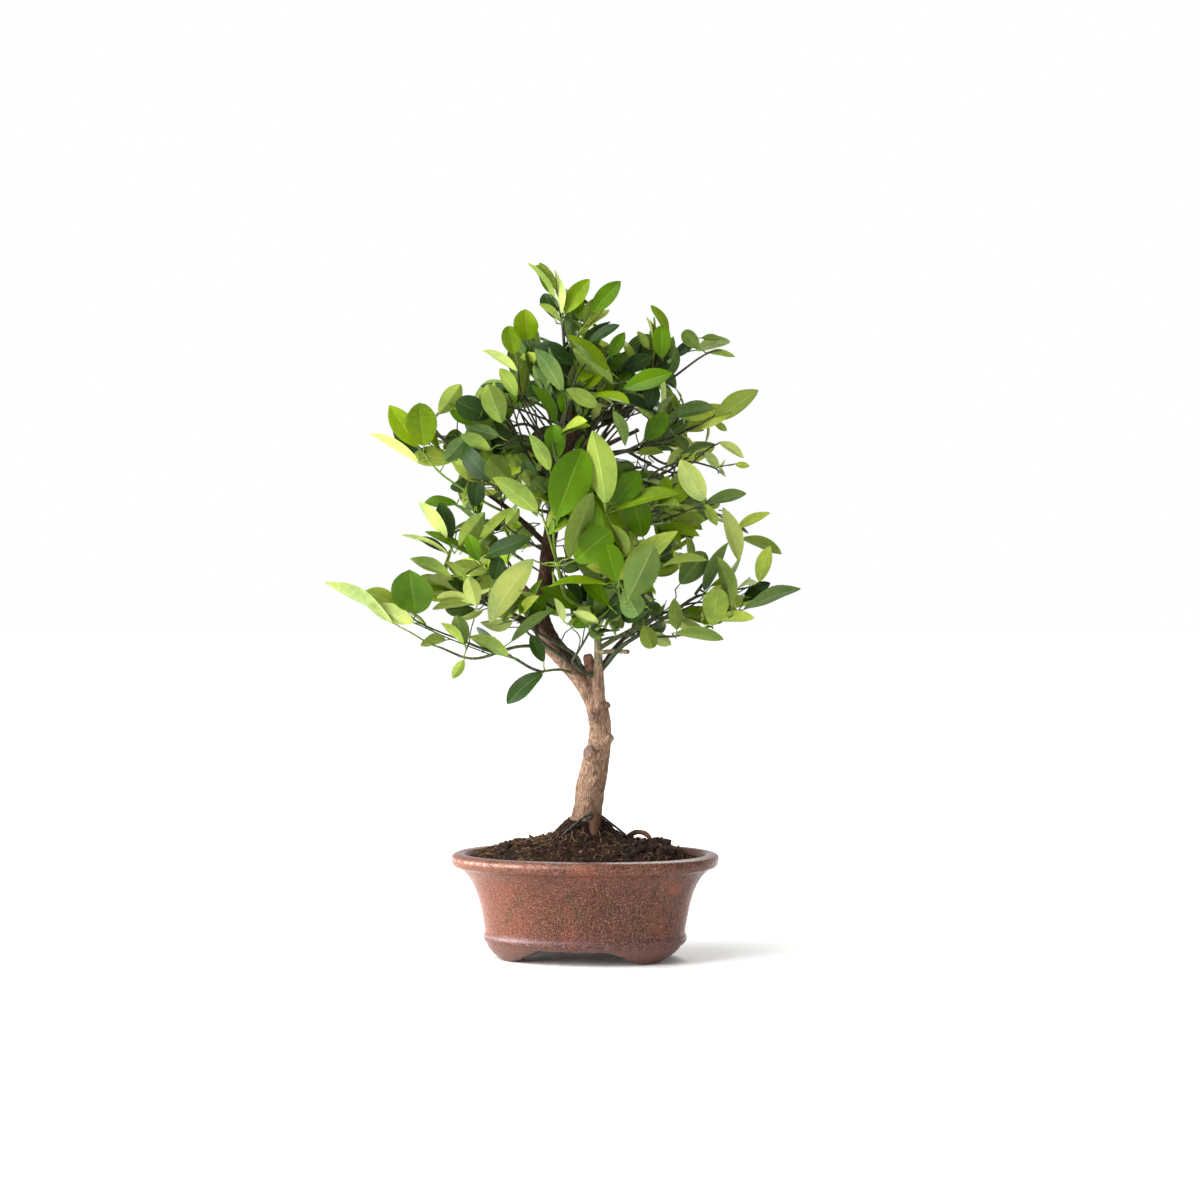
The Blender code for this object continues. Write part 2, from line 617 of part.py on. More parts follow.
def stand_clear_of_each_other(clouds):
    """Parts each overlapping pair by the plane that takes the least from both."""
    ways = spread_directions(WAYS)
    for i, one in enumerate(clouds):
        for other in clouds[i + 1:]:
            apart = (ways @ (other.middle - one.middle)
                     - (one.spokes @ ways.T).max(axis=0) - (-other.spokes @ ways.T).max(axis=0))
            best = int(apart.argmax())
            if apart[best] > GAP:
                continue
            way = ways[best]
            near, far = one.reach(way), other.reach(-way)
            share = near / (near + far)
            plane = one.middle @ way + near + apart[best] * share
            one.keep_below(way, plane - GAP / 2)
            other.keep_below(-way, -(plane + GAP / 2))


def cloud_mesh(cloud):
    """The mass as a closed mesh of triangles; every other ring is turned by half a step."""
    first, loops, last = cloud.rings()
    sheet = bmesh.new()
    tip, tail = sheet.verts.new(first), sheet.verts.new(last)
    rows = [[sheet.verts.new(point) for point in loop] for loop in loops]
    for row in range(LEAF_RINGS - 1):
        for k in range(LEAF_SIDES):
            j = (k + 1) % LEAF_SIDES
            a, b, c, d = rows[row][k], rows[row][j], rows[row + 1][j], rows[row + 1][k]
            if row % 2:
                sheet.faces.new((a, b, d))
                sheet.faces.new((b, c, d))
            else:
                sheet.faces.new((a, b, c))
                sheet.faces.new((a, c, d))
    for k in range(LEAF_SIDES):
        j = (k + 1) % LEAF_SIDES
        sheet.faces.new((tip, rows[0][j], rows[0][k]))
        sheet.faces.new((tail, rows[-1][k], rows[-1][j]))
    bmesh.ops.recalc_face_normals(sheet, faces=sheet.faces)
    mesh = bpy.data.meshes.new(cloud.name)
    sheet.to_mesh(mesh)
    sheet.free()
    return mesh


def make_masses(stand, finish, lines):
    clouds = [Cloud(mass) for mass in MASSES]
    for cloud in clouds:
        stand_clear_of_limbs(cloud, lines)
    stand_clear_of_each_other(clouds)
    for cloud in clouds:
        add_object(cloud.name, cloud_mesh(cloud), finish, stand)


def middle_of_everything():
    """The middle of the visible pieces' common box, seen from above."""
    bpy.context.view_layer.update()
    corners = [obj.matrix_world @ Vector(corner)
               for obj in bpy.data.objects if obj.type == "MESH" and not obj.hide_render
               for corner in obj.bound_box]
    xs, ys = [corner.x for corner in corners], [corner.y for corner in corners]
    return (min(xs) + max(xs)) / 2, (min(ys) + max(ys)) / 2


def main():
    clear_scene()
    stand = bpy.data.objects.new("plant_place", None)
    bpy.context.collection.objects.link(stand)
    glaze = material("pot_glaze", (0.20, 0.060, 0.035), 0.32)
    clay = material("pot_foot", (0.22, 0.10, 0.08), 0.60)
    peat = material("soil", (0.035, 0.018, 0.011), 0.95)
    bark = material("bark", (0.26, 0.17, 0.11), 0.85)
    young_bark = material("young_bark", (0.11, 0.12, 0.05), 0.75)
    wire = material("wire", (0.03, 0.03, 0.03), 0.45)
    leaves = material("leaves", (0.06, 0.19, 0.02), 0.45)
    make_pot(stand, glaze, clay)
    make_soil(stand, peat)
    lines = make_limbs(stand, bark, young_bark)
    make_soil_trim(stand, bark, wire)
    make_masses(stand, leaves, lines)
    x, y = middle_of_everything()
    stand.location = (-x, -y, 0.0)


main()
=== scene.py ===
"""Looks of the calamondin bonsai: bark, soil and glaze on the pot, and a crown grown from its limbs.

Places are measured from the middle of the pot on the surface it stands on, in metres, and moved to the
plant's own frame where they are used. The growth is seeded, so every run gives the same tree.
"""

import json
import math

import bmesh
import bpy
import numpy as np
from mathutils import Matrix, Vector, noise
from mathutils.bvhtree import BVHTree

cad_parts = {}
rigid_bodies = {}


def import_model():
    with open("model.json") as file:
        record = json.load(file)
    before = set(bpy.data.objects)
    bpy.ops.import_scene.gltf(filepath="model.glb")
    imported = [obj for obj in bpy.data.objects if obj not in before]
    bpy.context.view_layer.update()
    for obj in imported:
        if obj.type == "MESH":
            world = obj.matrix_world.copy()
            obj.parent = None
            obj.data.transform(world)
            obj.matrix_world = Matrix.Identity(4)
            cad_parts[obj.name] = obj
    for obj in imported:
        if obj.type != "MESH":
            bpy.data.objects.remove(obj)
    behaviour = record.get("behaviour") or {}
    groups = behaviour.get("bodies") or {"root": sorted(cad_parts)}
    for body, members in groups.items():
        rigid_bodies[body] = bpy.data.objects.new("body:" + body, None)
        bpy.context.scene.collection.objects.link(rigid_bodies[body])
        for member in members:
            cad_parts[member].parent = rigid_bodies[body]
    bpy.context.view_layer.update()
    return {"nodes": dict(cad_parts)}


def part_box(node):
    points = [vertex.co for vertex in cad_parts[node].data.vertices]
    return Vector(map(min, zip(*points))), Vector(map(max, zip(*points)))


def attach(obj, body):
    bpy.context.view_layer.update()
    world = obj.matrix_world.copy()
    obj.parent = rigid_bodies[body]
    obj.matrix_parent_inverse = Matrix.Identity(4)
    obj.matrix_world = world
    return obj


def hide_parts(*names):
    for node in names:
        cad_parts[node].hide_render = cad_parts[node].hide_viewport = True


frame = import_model()

# Where the pot stands in the plant's frame
POT_LOW, POT_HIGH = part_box("pot")
POT_MIDDLE = Vector(((POT_LOW.x + POT_HIGH.x) / 2, (POT_LOW.y + POT_HIGH.y) / 2, 0.0))

# Camera: turned a little to the right of the pot's front, level, a long lens
VIEW_TURN = math.radians(7.0)
VIEW_DISTANCE = 1.95
VIEW_HEIGHT = 0.2803
VIEW_ASIDE = 0.01175
FOCAL_PIXELS = 2488.5
IMAGE_SIZE = 1200
SENSOR_WIDTH = 36.0
VIEW_RIGHT = Vector((math.cos(VIEW_TURN), math.sin(VIEW_TURN), 0.0))
VIEW_AHEAD = Vector((-math.sin(VIEW_TURN), math.cos(VIEW_TURN), 0.0))

# Pot
POT_LENGTH = 0.210
POT_WIDTH = 0.162
OVAL_POWER = 2.2
POT_SIDES = 168
FOOT_HEIGHT = 0.0115
WALL_THICKNESS = 0.006
FLOOR_TOP = 0.0195
POT_OUTSIDE = (
    (0.0700, 0.0113), (0.0745, 0.0112), (0.0769, 0.0118), (0.0785, 0.0134), (0.0797, 0.0152), (0.0799, 0.0168),
    (0.0795, 0.0187), (0.0788, 0.0203), (0.0786, 0.0216), (0.0788, 0.0240), (0.0793, 0.0270), (0.0801, 0.0310),
    (0.0809, 0.0350), (0.0824, 0.0420), (0.0848, 0.0505), (0.0880, 0.0580), (0.0915, 0.0638), (0.0945, 0.0674),
    (0.0966, 0.0694), (0.0980, 0.0707), (0.1002, 0.0717), (0.1024, 0.0724), (0.1038, 0.0734), (0.1046, 0.0747),
    (0.1050, 0.0765), (0.1050, 0.0785), (0.1046, 0.0800), (0.1034, 0.0813), (0.1012, 0.0822), (0.0985, 0.0826),
    (0.0962, 0.0824), (0.0947, 0.0814), (0.0938, 0.0798), (0.0920, 0.0740), (0.0890, 0.0680), (0.0850, 0.0600),
    (0.0800, 0.0480), (0.0765, 0.0360), (0.0740, 0.0260), (0.0700, 0.0195),
)
FOOT_BEARINGS = (38.5, 146.5, 213.5, 321.5)
FOOT_LEVELS = (0.0, 0.035, 0.12, 0.25, 0.4, 0.55, 0.7, 0.85, 1.0)
DRAIN_DIAMETER = 0.014
DRAIN_OFFSET = 0.042

# Soil
SOIL_EDGE = 0.0780
SOIL_CROWN = 0.0172
SOIL_CONE = 0.0132
SOIL_CONE_REACH = 0.0110
SOIL_HEAP = (0.061, -0.006)
SOIL_HEAP_HEIGHT = 0.0062
SOIL_HEAP_REACH = 0.0100
SOIL_DIP_PLACE = 0.0445
SOIL_DIP_DEPTH = 0.0020
SOIL_DIP_REACH = (0.0070, 0.045)
SOIL_SINK_PLACE = 0.088
SOIL_SINK_DEPTH = 0.0055
SOIL_SINK_REACH = 0.016
SOIL_SKIRT = 0.009
TRUNK_FOOT_PAD = 0.0122
SOIL_RIM_HALF = 0.0928

# Limbs: place and radius down the trunk, then each bough's thick and thin radius and its path
TRUNK_LINE = (
    (0.001, 0.000, 0.1040, 0.0136), (0.001, 0.000, 0.1075, 0.0128), (0.002, 0.000, 0.116, 0.0110),
    (0.005, 0.001, 0.138, 0.0109), (0.011, 0.001, 0.167, 0.0090), (0.011, 0.002, 0.188, 0.0081),
    (0.003, 0.003, 0.210, 0.0080), (-0.015, 0.005, 0.232, 0.0076), (-0.029, 0.007, 0.248, 0.0076),
    (-0.037, 0.008, 0.270, 0.0070), (-0.032, 0.006, 0.300, 0.0059), (-0.027, 0.001, 0.334, 0.0054),
    (-0.020, -0.003, 0.370, 0.0048), (-0.009, -0.001, 0.414, 0.0036),
)
BOUGHS = {
    "second_stem": (0.0056, 0.0025, (
        (0.0108, 0.0030, 0.168), (0.0107, -0.0018, 0.205), (0.011, -0.004, 0.235), (0.011, -0.009, 0.270),
        (0.014, -0.005, 0.312))),
    "bough_right_low": (0.0020, 0.0014, ((0.011, -0.006, 0.242), (0.028, -0.007, 0.252), (0.058, -0.006, 0.268))),
    "bough_right_green": (0.0026, 0.0014, ((0.010, -0.002, 0.221), (0.021, 0.008, 0.240), (0.034, 0.017, 0.256))),
    "bough_right_middle": (0.0020, 0.0012, ((0.013, -0.006, 0.300), (0.030, -0.020, 0.322), (0.056, -0.038, 0.345))),
    "bough_front_right": (0.0020, 0.0012, ((0.011, -0.009, 0.268), (0.022, -0.024, 0.278), (0.036, -0.042, 0.293))),
    "bough_front_left": (0.0022, 0.0012, ((-0.036, 0.007, 0.262), (-0.037, -0.014, 0.270), (-0.037, -0.040, 0.281))),
    "bough_left_low": (0.0036, 0.0022, ((-0.030, 0.007, 0.252), (-0.048, -0.001, 0.264), (-0.067, -0.009, 0.272))),
    "bough_left_drooping": (0.0014, 0.0008, (
        (-0.024, 0.006, 0.243), (-0.050, -0.020, 0.244), (-0.082, -0.036, 0.235), (-0.108, -0.044, 0.244))),
    "bough_left_lowest": (0.0012, 0.0008, ((-0.008, 0.003, 0.222), (-0.018, -0.014, 0.226), (-0.030, -0.032, 0.225))),
    "bough_left_upper": (0.0024, 0.0014, ((-0.029, 0.003, 0.322), (-0.058, -0.006, 0.350), (-0.092, -0.018, 0.376))),
    "bough_front": (0.0022, 0.0014, ((-0.026, 0.001, 0.336), (-0.018, -0.024, 0.348), (-0.006, -0.054, 0.358))),
    "bough_right_upper": (0.0024, 0.0014, ((-0.018, -0.002, 0.380), (0.012, -0.008, 0.398), (0.044, -0.018, 0.412))),
    "bough_top": (0.0024, 0.0013, ((-0.011, -0.001, 0.404), (-0.010, -0.001, 0.440), (-0.014, -0.003, 0.482))),
    "bough_right_top": (0.0022, 0.0012, ((-0.010, -0.001, 0.408), (0.016, 0.004, 0.426), (0.045, 0.006, 0.444))),
    "bough_back": (0.0026, 0.0015, ((-0.021, -0.002, 0.362), (-0.018, 0.026, 0.368), (-0.019, 0.056, 0.376))),
    "bough_back_right": (0.0024, 0.0014, ((-0.015, -0.002, 0.390), (0.010, 0.028, 0.396), (0.040, 0.056, 0.402))),
    "bough_back_low_left": (0.0026, 0.0014, ((-0.037, 0.008, 0.274), (-0.046, 0.026, 0.284), (-0.058, 0.048, 0.294))),
    "bough_back_low_right": (0.0026, 0.0014, ((-0.034, 0.007, 0.290), (-0.012, 0.030, 0.296), (0.020, 0.054, 0.303))),
}

# Radius of the second stem at each height
STEM_RADII = ((0.168, 0.0070), (0.190, 0.0058), (0.205, 0.0050), (0.218, 0.0044), (0.232, 0.0033), (0.245, 0.0028),
              (0.312, 0.0024))

# Pruned stubs: start, end, thick and thin radius, and which bark
STUBS = (
    ((0.0125, -0.003, 0.1650), (0.0216, -0.0055, 0.1745), 0.0076, 0.0030, 0),
    ((0.0125, -0.001, 0.1940), (0.0193, -0.0028, 0.1988), 0.0038, 0.0023, 2),
    ((0.0080, -0.003, 0.1580), (0.0030, -0.0106, 0.1622), 0.0086, 0.0050, 0),
    ((0.0080, -0.003, 0.1880), (0.0052, -0.0086, 0.1894), 0.0054, 0.0026, 0),
    ((0.0070, 0.002, 0.2080), (0.0022, -0.0030, 0.2375), 0.0054, 0.0036, 2),
    ((0.0120, -0.006, 0.2395), (0.0360, -0.0110, 0.2400), 0.0016, 0.0014, 3),
)
STUB_SCAR = 4

# Wire over the foot of the trunk in pixels and depths, and the roots that show
WIRE_RADIUS = 0.00095
WIRE_PATH = (
    (552, 846, -12), (560, 838, -16), (568, 830.5, -18), (578, 822, -19.5), (585, 816.5, -19.5), (590, 814.5, -18.5),
    (595, 814.5, -11), (601, 815.5, -10), (612, 824, -15), (622, 832, -15), (629, 839, -12),
)
WIRE_EYE = (589.5, 817.0, -19.5)
WIRE_EYE_RADIUS = 0.0020
ROOTS = {
    "surface_root_front": (((0.0085, -0.0116, 0.1106), (0.0096, -0.0164, 0.1060), (0.0090, -0.0184, 0.0940)),
                           0.0050, 0.0034),
    "surface_root_right": (((0.0310, 0.002, 0.0900), (0.0365, -0.001, 0.0972), (0.0435, -0.003, 0.0994),
                            (0.0500, -0.005, 0.0966), (0.0545, -0.006, 0.0880)), 0.0021, 0.0015),
}

# Growth of the twigs
SEED = 11
GROW_STEP = 0.0062
GROW_TURNS = 70
REACHED = 0.0070
TWIG_THIN = 0.00050
TWIG_THICK = 0.0022
TWIG_POWER = 0.42
SPRAY_VOLUME = 7.0e-6
LEADER_VOLUME = 32.0e-6
LEAST_SPRAYS = 3
MOST_LEADERS = 5
INNER_SPRAYS = 110
LEAVES_ON_TWIG = 3
POINTS_APART = 2
SAME_TINT = 0.45
TWIG_BEHIND = 0.009
TWIG_BEFORE = 0.030

# Masses at the sides of the crown whose leaves stand further apart, with the share of leaves that they keep
THINNED = {
    "right_thin": 0.5, "right_upper": 0.6, "right_upper_tip": 0.5, "right_middle": 0.6, "right_outer": 0.6,
    "right_top_tip": 0.6, "left_middle": 0.7, "left_outer": 0.6, "left_upper": 0.7, "left_droop_low": 0.4,
    "left_droop_tip": 0.4, "left_lowest": 0.6, "left_low": 0.7,
}

# Places among the limbs that the photograph shows full of leaves: middle and half size in pixels, the two depths
# in millimetres between which the leaves are, and how many sprays there are
FILLS = (
    (582, 575, 24, 34, 0, 50, 16), (560, 592, 18, 26, -22, -2, 8), (500, 628, 18, 14, -20, 20, 8),
    (531, 546, 12, 14, 5, 40, 5), (528, 600, 20, 18, 16, 46, 8), (550, 424, 58, 20, 25, 60, 16),
    (592, 612, 24, 14, -10, 30, 8), (600, 410, 30, 14, 20, 50, 6),
)

# The crown as a whole: middle and half size of the rounded space that its inner leaves keep to
CROWN_MIDDLE = (-0.002, 0.012, 0.365)
CROWN_HALF = (0.125, 0.118, 0.150)
INNER_REACH = 0.030

# Leaves: usual length, share of it that is the width
LEAF_LENGTH = (0.027, 0.045)
LEAF_WIDTH = (0.40, 0.56)
LEAF_ROWS = 12
LEAF_ACROSS = (-1.0, -0.54, -0.042, 0.042, 0.54, 1.0)
LEAF_THICKNESS = 0.00028
LEAF_TRIES = 14
OUTSIDE_REACH = 0.004

# Long shoots that show clearly: pixel of the photograph and depth in millimetres behind the pot's middle at
# each point, radius in millimetres at both ends, and colour. Each starts at the limb that is seen at its first pixel.
SHOOTS = {
    "left_droop": (((439, 647, -31), (427, 643, -36), (414, 634, -42), (400, 627, -44)), 0.8, 0.6, "fresh"),
    "left_low": (((541, 672, -28), (530, 668, -30), (518, 660, -28), (508, 654, -24)), 0.9, 0.8, "green"),
    "left_upper_cut": (((512, 500, -2), (498, 489, -12), (480, 473, -16), (460, 453, -18), (440, 437, -18),
                        (424, 419, -18)), 1.6, 1.2, "old"),
    "left_upper": (((516, 522, 0), (500, 510, -14), (484, 502, -18), (460, 487, -20), (439, 473, -20),
                    (424, 454, -20)), 1.2, 0.6, "fresh"),
    "right_top": (((594, 424, -2), (620, 412, -2), (640, 402, 0), (662, 386, 4), (686, 368, 7), (706, 353, 8),
                   (722, 350, 10)), 1.6, 0.6, "green"),
    "right_long": (((592, 462, -4), (615, 455, -10), (640, 446, -16), (675, 437, -20), (690, 428, -22),
                    (713, 421, -22)), 1.6, 0.8, "old"),
    "right_thin": (((620, 500, -4), (645, 478, -14), (668, 466, -20), (690, 460, -24), (711, 467, -26),
                    (735, 464, -26)), 1.1, 0.5, "green"),
    "right_middle": (((640, 500, -20), (664, 478, -30), (690, 466, -36), (703, 452, -34), (719, 443, -28)),
                     1.1, 0.6, "old"),
    "right_low": (((602, 674, -2), (610, 660, -10), (622, 645, -16), (645, 632, -22), (665, 618, -26),
                   (690, 600, -28), (703, 584, -30)), 2.1, 1.2, "green"),
    "right_lowest": (((598, 642, -4), (612, 637, -16), (632, 635, -24), (676, 638, -32), (700, 629, -36),
                      (717, 624, -40)), 1.1, 0.6, "green"),
    "right_edge": (((700, 590, -28), (716, 600, -30), (730, 612, -32), (741, 611, -32)), 0.9, 0.6, "green"),
    "green_left_one": (((592, 679, -2), (586, 674, -8), (570, 662, -13), (545, 645, -16), (535, 632, -18),
                        (524, 612, -20)), 1.9, 1.0, "green"),
    "green_left_two": (((586, 662, -4), (578, 656, -10), (560, 645, -12), (533, 630, -13), (512, 616, -16)),
                       1.8, 0.9, "green"),
    "front_green": (((598, 640, -6), (604, 630, -20), (608, 620, -34), (618, 596, -60), (627, 588, -72)),
                    1.3, 0.8, "fresh"),
    "front_middle": (((570, 612, 2), (566, 600, -20), (562, 585, -44), (556, 560, -66), (553, 535, -80),
                      (556, 520, -90)), 1.7, 0.9, "fresh"),
    "front_left": (((556, 556, -70), (550, 540, -78), (546, 526, -82), (540, 512, -84)), 1.1, 0.7, "fresh"),
    "front_droop": (((556, 560, -66), (552, 566, -80), (543, 564, -88), (533, 560, -92)), 0.9, 0.6, "fresh"),
    "front_right": (((598, 600, -8), (600, 580, -40), (602, 556, -72), (606, 530, -92), (606, 506, -102)),
                    1.7, 0.9, "fresh"),
    "front_side": (((602, 560, -70), (612, 566, -88), (618, 578, -100), (624, 590, -108)), 1.2, 0.7, "fresh"),
    "top": (((571, 400, 0), (566, 370, -2), (564, 340, -4), (562, 316, -6)), 1.3, 0.7, "green"),
    "top_side": (((564, 350, -4), (574, 340, -6), (584, 328, -8), (592, 314, -8)), 0.9, 0.6, "fresh"),
}
SHOOT_KINDS = ("fresh", "green", "old")

# Bare shoots that spread upward from the top of the trunk: how many, the height they start above, the pixels and
# depths between which they end, and their radius at both ends
FAN_SHOOTS = 34
FAN_START_HEIGHT = 0.345
FAN_END = ((486, 388, -24), (655, 412, 40))
FAN_RADII = (0.00115, 0.00060)

# Leaves that stand out: pixel of the base, pixel of the tip, width in pixels, depth in millimetres, tint,
# and the side that shows, 1 for the upper and -1 for the under side
NAMED_LEAVES = (
    (419, 463, 369, 434, 10, -16, "light", -1), (418, 447, 389, 405, 24, -20, "fresh", 1),
    (424, 446, 421, 405, 32, -24, "fresh", 1), (439, 414, 461, 384, 20, -14, "green", -1),
    (490, 417, 456, 402, 26, -20, "dark", 1), (499, 436, 466, 427, 16, -28, "dark", -1),
    (502, 423, 487, 384, 25, -30, "green", -1), (515, 354, 508, 326, 20, -20, "fresh", 1),
    (527, 340, 526, 313, 26, -24, "fresh", 1), (518, 372, 481, 351, 9, -18, "light", -1),
    (517, 397, 499, 368, 14, -24, "green", -1), (563, 392, 534, 349, 18, -40, "dark", -1),
    (562, 314, 554, 269, 10, -8, "pale", -1), (555, 298, 527, 263, 7, -6, "green", -1),
    (556, 289, 535, 265, 12, -4, "fresh", -1), (561, 322, 538, 304, 7, -4, "green", -1),
    (556, 518, 583, 448, 43, -96, "green", 1), (538, 512, 492, 478, 22, -84, "green", -1),
    (550, 471, 528, 434, 15, -60, "green", -1), (558, 458, 553, 424, 22, -64, "green", 1),
    (511, 482, 490, 461, 26, -50, "green", -1), (445, 461, 466, 437, 18, -24, "dark", -1),
    (491, 450, 460, 435, 14, -34, "green", -1),
    (565, 313, 590, 279, 20, -8, "fresh", 1), (592, 313, 621, 281, 20, -8, "green", 1),
    (585, 325, 594, 298, 9, -6, "green", -1), (589, 343, 620, 325, 12, -16, "dark", 1),
    (609, 357, 625, 332, 14, -18, "green", 1), (669, 337, 650, 305, 10, -6, "fresh", 1),
    (662, 358, 661, 325, 20, -10, "green", 1), (649, 349, 637, 331, 9, -4, "green", -1),
    (621, 370, 653, 356, 18, -8, "dark", 1), (699, 348, 683, 331, 16, 8, "green", -1),
    (701, 338, 722, 339, 6, 10, "green", -1), (708, 352, 735, 357, 6, 12, "fresh", -1),
    (624, 389, 673, 373, 21, -46, "green", 1), (608, 370, 566, 335, 17, -40, "fresh", 1),
    (613, 384, 572, 349, 20, -36, "green", -1), (598, 407, 566, 389, 16, -52, "green", -1),
    (648, 411, 655, 384, 17, -40, "dark", 1), (646, 440, 668, 413, 20, -44, "green", 1),
    (667, 419, 717, 409, 13, -44, "dark", -1), (714, 421, 759, 390, 20, -22, "green", -1),
    (714, 422, 727, 431, 7, -22, "green", -1), (613, 411, 625, 447, 12, -60, "dark", -1),
    (606, 504, 592, 430, 30, -104, "green", -1), (613, 506, 640, 472, 26, -96, "green", 1),
    (704, 501, 680, 459, 25, -80, "light", -1), (680, 455, 719, 445, 7, -30, "dark", -1),
    (719, 442, 744, 459, 9, -26, "pale", -1), (719, 468, 704, 451, 10, -28, "pale", -1),
    (735, 464, 750, 466, 7, -24, "fresh", -1), (704, 504, 747, 494, 12, -60, "dark", -1),
    (637, 453, 664, 453, 9, 20, "fresh", -1), (617, 510, 680, 494, 15, -100, "fresh", 1),
    (393, 623, 323, 583, 14, -42, "pale", -1), (414, 623, 367, 607, 20, -46, "light", -1),
    (416, 614, 413, 572, 43, -40, "green", 1), (465, 645, 456, 615, 18, -40, "dark", -1),
    (464, 644, 440, 623, 10, -44, "green", -1), (464, 660, 452, 679, 11, -42, "fresh", -1),
    (509, 656, 468, 637, 16, -34, "green", -1), (543, 673, 507, 705, 18, -30, "dark", 1),
    (544, 662, 530, 636, 14, -28, "dark", 1), (533, 559, 490, 624, 27, -92, "light", -1),
    (474, 603, 436, 598, 13, -30, "pale", -1), (474, 603, 432, 610, 9, -26, "green", -1),
    (477, 606, 468, 577, 18, -36, "pale", -1), (475, 598, 447, 581, 9, -24, "dark", 1),
    (452, 577, 409, 559, 13, -28, "green", -1), (467, 580, 446, 562, 12, -30, "green", -1),
    (448, 554, 401, 535, 6, -26, "light", -1), (448, 553, 417, 537, 9, -24, "dark", 1),
    (473, 557, 424, 532, 8, -34, "green", 1), (447, 539, 418, 502, 14, -32, "pale", -1),
    (451, 540, 440, 502, 20, -28, "dark", 1), (459, 546, 485, 512, 20, -40, "green", -1),
    (457, 504, 424, 503, 12, -18, "green", 1), (479, 561, 468, 534, 16, -44, "green", 1),
    (486, 555, 532, 539, 18, -60, "dark", 1), (494, 580, 500, 557, 17, -30, "dark", 1),
    (506, 525, 519, 508, 12, -40, "green", -1), (475, 507, 478, 482, 18, -26, "dark", 1),
    (511, 642, 553, 610, 11, -60, "dark", -1), (564, 622, 554, 598, 9, -70, "pale", -1),
    (568, 559, 594, 492, 20, -112, "green", -1), (575, 561, 612, 530, 34, -98, "green", 1),
    (617, 582, 606, 543, 26, -108, "green", 1), (629, 598, 654, 545, 34, -126, "dark", -1),
    (619, 580, 679, 531, 24, -112, "fresh", -1), (624, 590, 637, 614, 26, -104, "dark", -1),
    (662, 566, 708, 561, 8, -80, "green", -1), (680, 584, 706, 552, 26, -50, "dark", -1),
    (664, 526, 700, 537, 13, -70, "fresh", 1), (643, 537, 632, 497, 30, -84, "green", 1),
    (723, 508, 738, 562, 16, -44, "light", -1), (738, 527, 771, 513, 11, -30, "fresh", -1),
    (741, 538, 782, 555, 11, -28, "green", -1), (759, 582, 771, 545, 17, -44, "fresh", -1),
    (743, 610, 802, 589, 14, -38, "dark", -1), (743, 602, 771, 583, 14, -30, "dark", 1),
    (717, 620, 755, 619, 12, -46, "fresh", -1), (712, 626, 718, 588, 27, -50, "fresh", -1),
    (732, 606, 716, 556, 15, -54, "green", -1), (704, 591, 729, 542, 15, -48, "dark", -1),
    (677, 630, 674, 598, 15, -44, "green", -1), (675, 633, 724, 640, 13, -42, "green", -1),
    (644, 625, 652, 648, 18, -40, "green", -1), (606, 584, 547, 588, 9, -104, "fresh", 1),
    (609, 606, 579, 578, 17, -96, "green", 1), (599, 623, 572, 612, 9, -76, "pale", -1),
    (704, 504, 717, 526, 11, -64, "fresh", -1), (611, 524, 628, 556, 13, -104, "green", -1),
)

# Openings of the crown where the photograph shows sky: middle and half size in pixels
SKY = (
    (528, 426, 20, 12), (622, 447, 24, 9), (600, 437, 12, 8), (497, 511, 15, 8), (669, 592, 8, 18),
    (694, 596, 7, 16), (531, 579, 5, 6), (524, 560, 5, 5), (652, 462, 12, 6), (580, 640, 10, 8),
    (560, 655, 14, 8), (648, 652, 14, 5), (690, 470, 6, 6), (600, 657, 44, 16), (548, 668, 30, 8),
    (468, 386, 9, 8), (450, 425, 8, 8), (449, 478, 9, 14), (428, 528, 8, 6), (428, 568, 8, 7), (449, 552, 6, 6),
    (428, 614, 10, 6), (404, 634, 22, 8), (380, 628, 16, 8), (470, 632, 9, 9), (684, 372, 10, 9), (704, 388, 18, 9),
    (697, 441, 7, 5), (730, 448, 9, 9), (712, 486, 8, 8), (732, 488, 10, 8), (750, 488, 12, 9), (730, 509, 8, 7),
    (750, 512, 8, 8), (710, 536, 6, 12), (750, 548, 7, 5), (748, 568, 8, 7), (730, 632, 14, 8), (546, 328, 7, 9),
    (632, 330, 8, 8), (480, 358, 10, 8), (640, 366, 6, 5), (532, 290, 9, 13), (346, 608, 18, 9), (783, 573, 14, 8),
    (528, 694, 14, 12),
)

# Colours of the upper and the under side of the leaves, turned to linear light by tone()
TINTS = {
    "dark": ((34, 56, 18), (78, 99, 48)),
    "green": ((66, 98, 4), (108, 127, 53)),
    "fresh": ((98, 123, 6), (134, 153, 60)),
    "pale": ((124, 140, 50), (147, 162, 90)),
    "light": ((138, 149, 86), (154, 168, 92)),
}
TINT_SHARES = {"dark": 0.34, "green": 0.30, "fresh": 0.19, "pale": 0.17}


# Places and directions

def seen_at(px, py, depth):
    """The place that the camera sees at a pixel of the photograph, depth metres behind the pot's middle."""
    reach = (VIEW_DISTANCE + depth) / FOCAL_PIXELS
    right = VIEW_ASIDE + (px - IMAGE_SIZE / 2) * reach
    up = VIEW_HEIGHT + (IMAGE_SIZE / 2 - py) * reach
    return np.array(VIEW_RIGHT * right + VIEW_AHEAD * depth + Vector((0.0, 0.0, up)))


def pixels_of(places):
    """Pixels and depths of places measured from the pot's middle."""
    places = np.atleast_2d(places)
    depth = places @ np.array(VIEW_AHEAD)
    reach = (VIEW_DISTANCE + depth) / FOCAL_PIXELS
    px = IMAGE_SIZE / 2 + (places @ np.array(VIEW_RIGHT) - VIEW_ASIDE) / reach
    py = IMAGE_SIZE / 2 - (places[:, 2] - VIEW_HEIGHT) / reach
    return px, py, depth


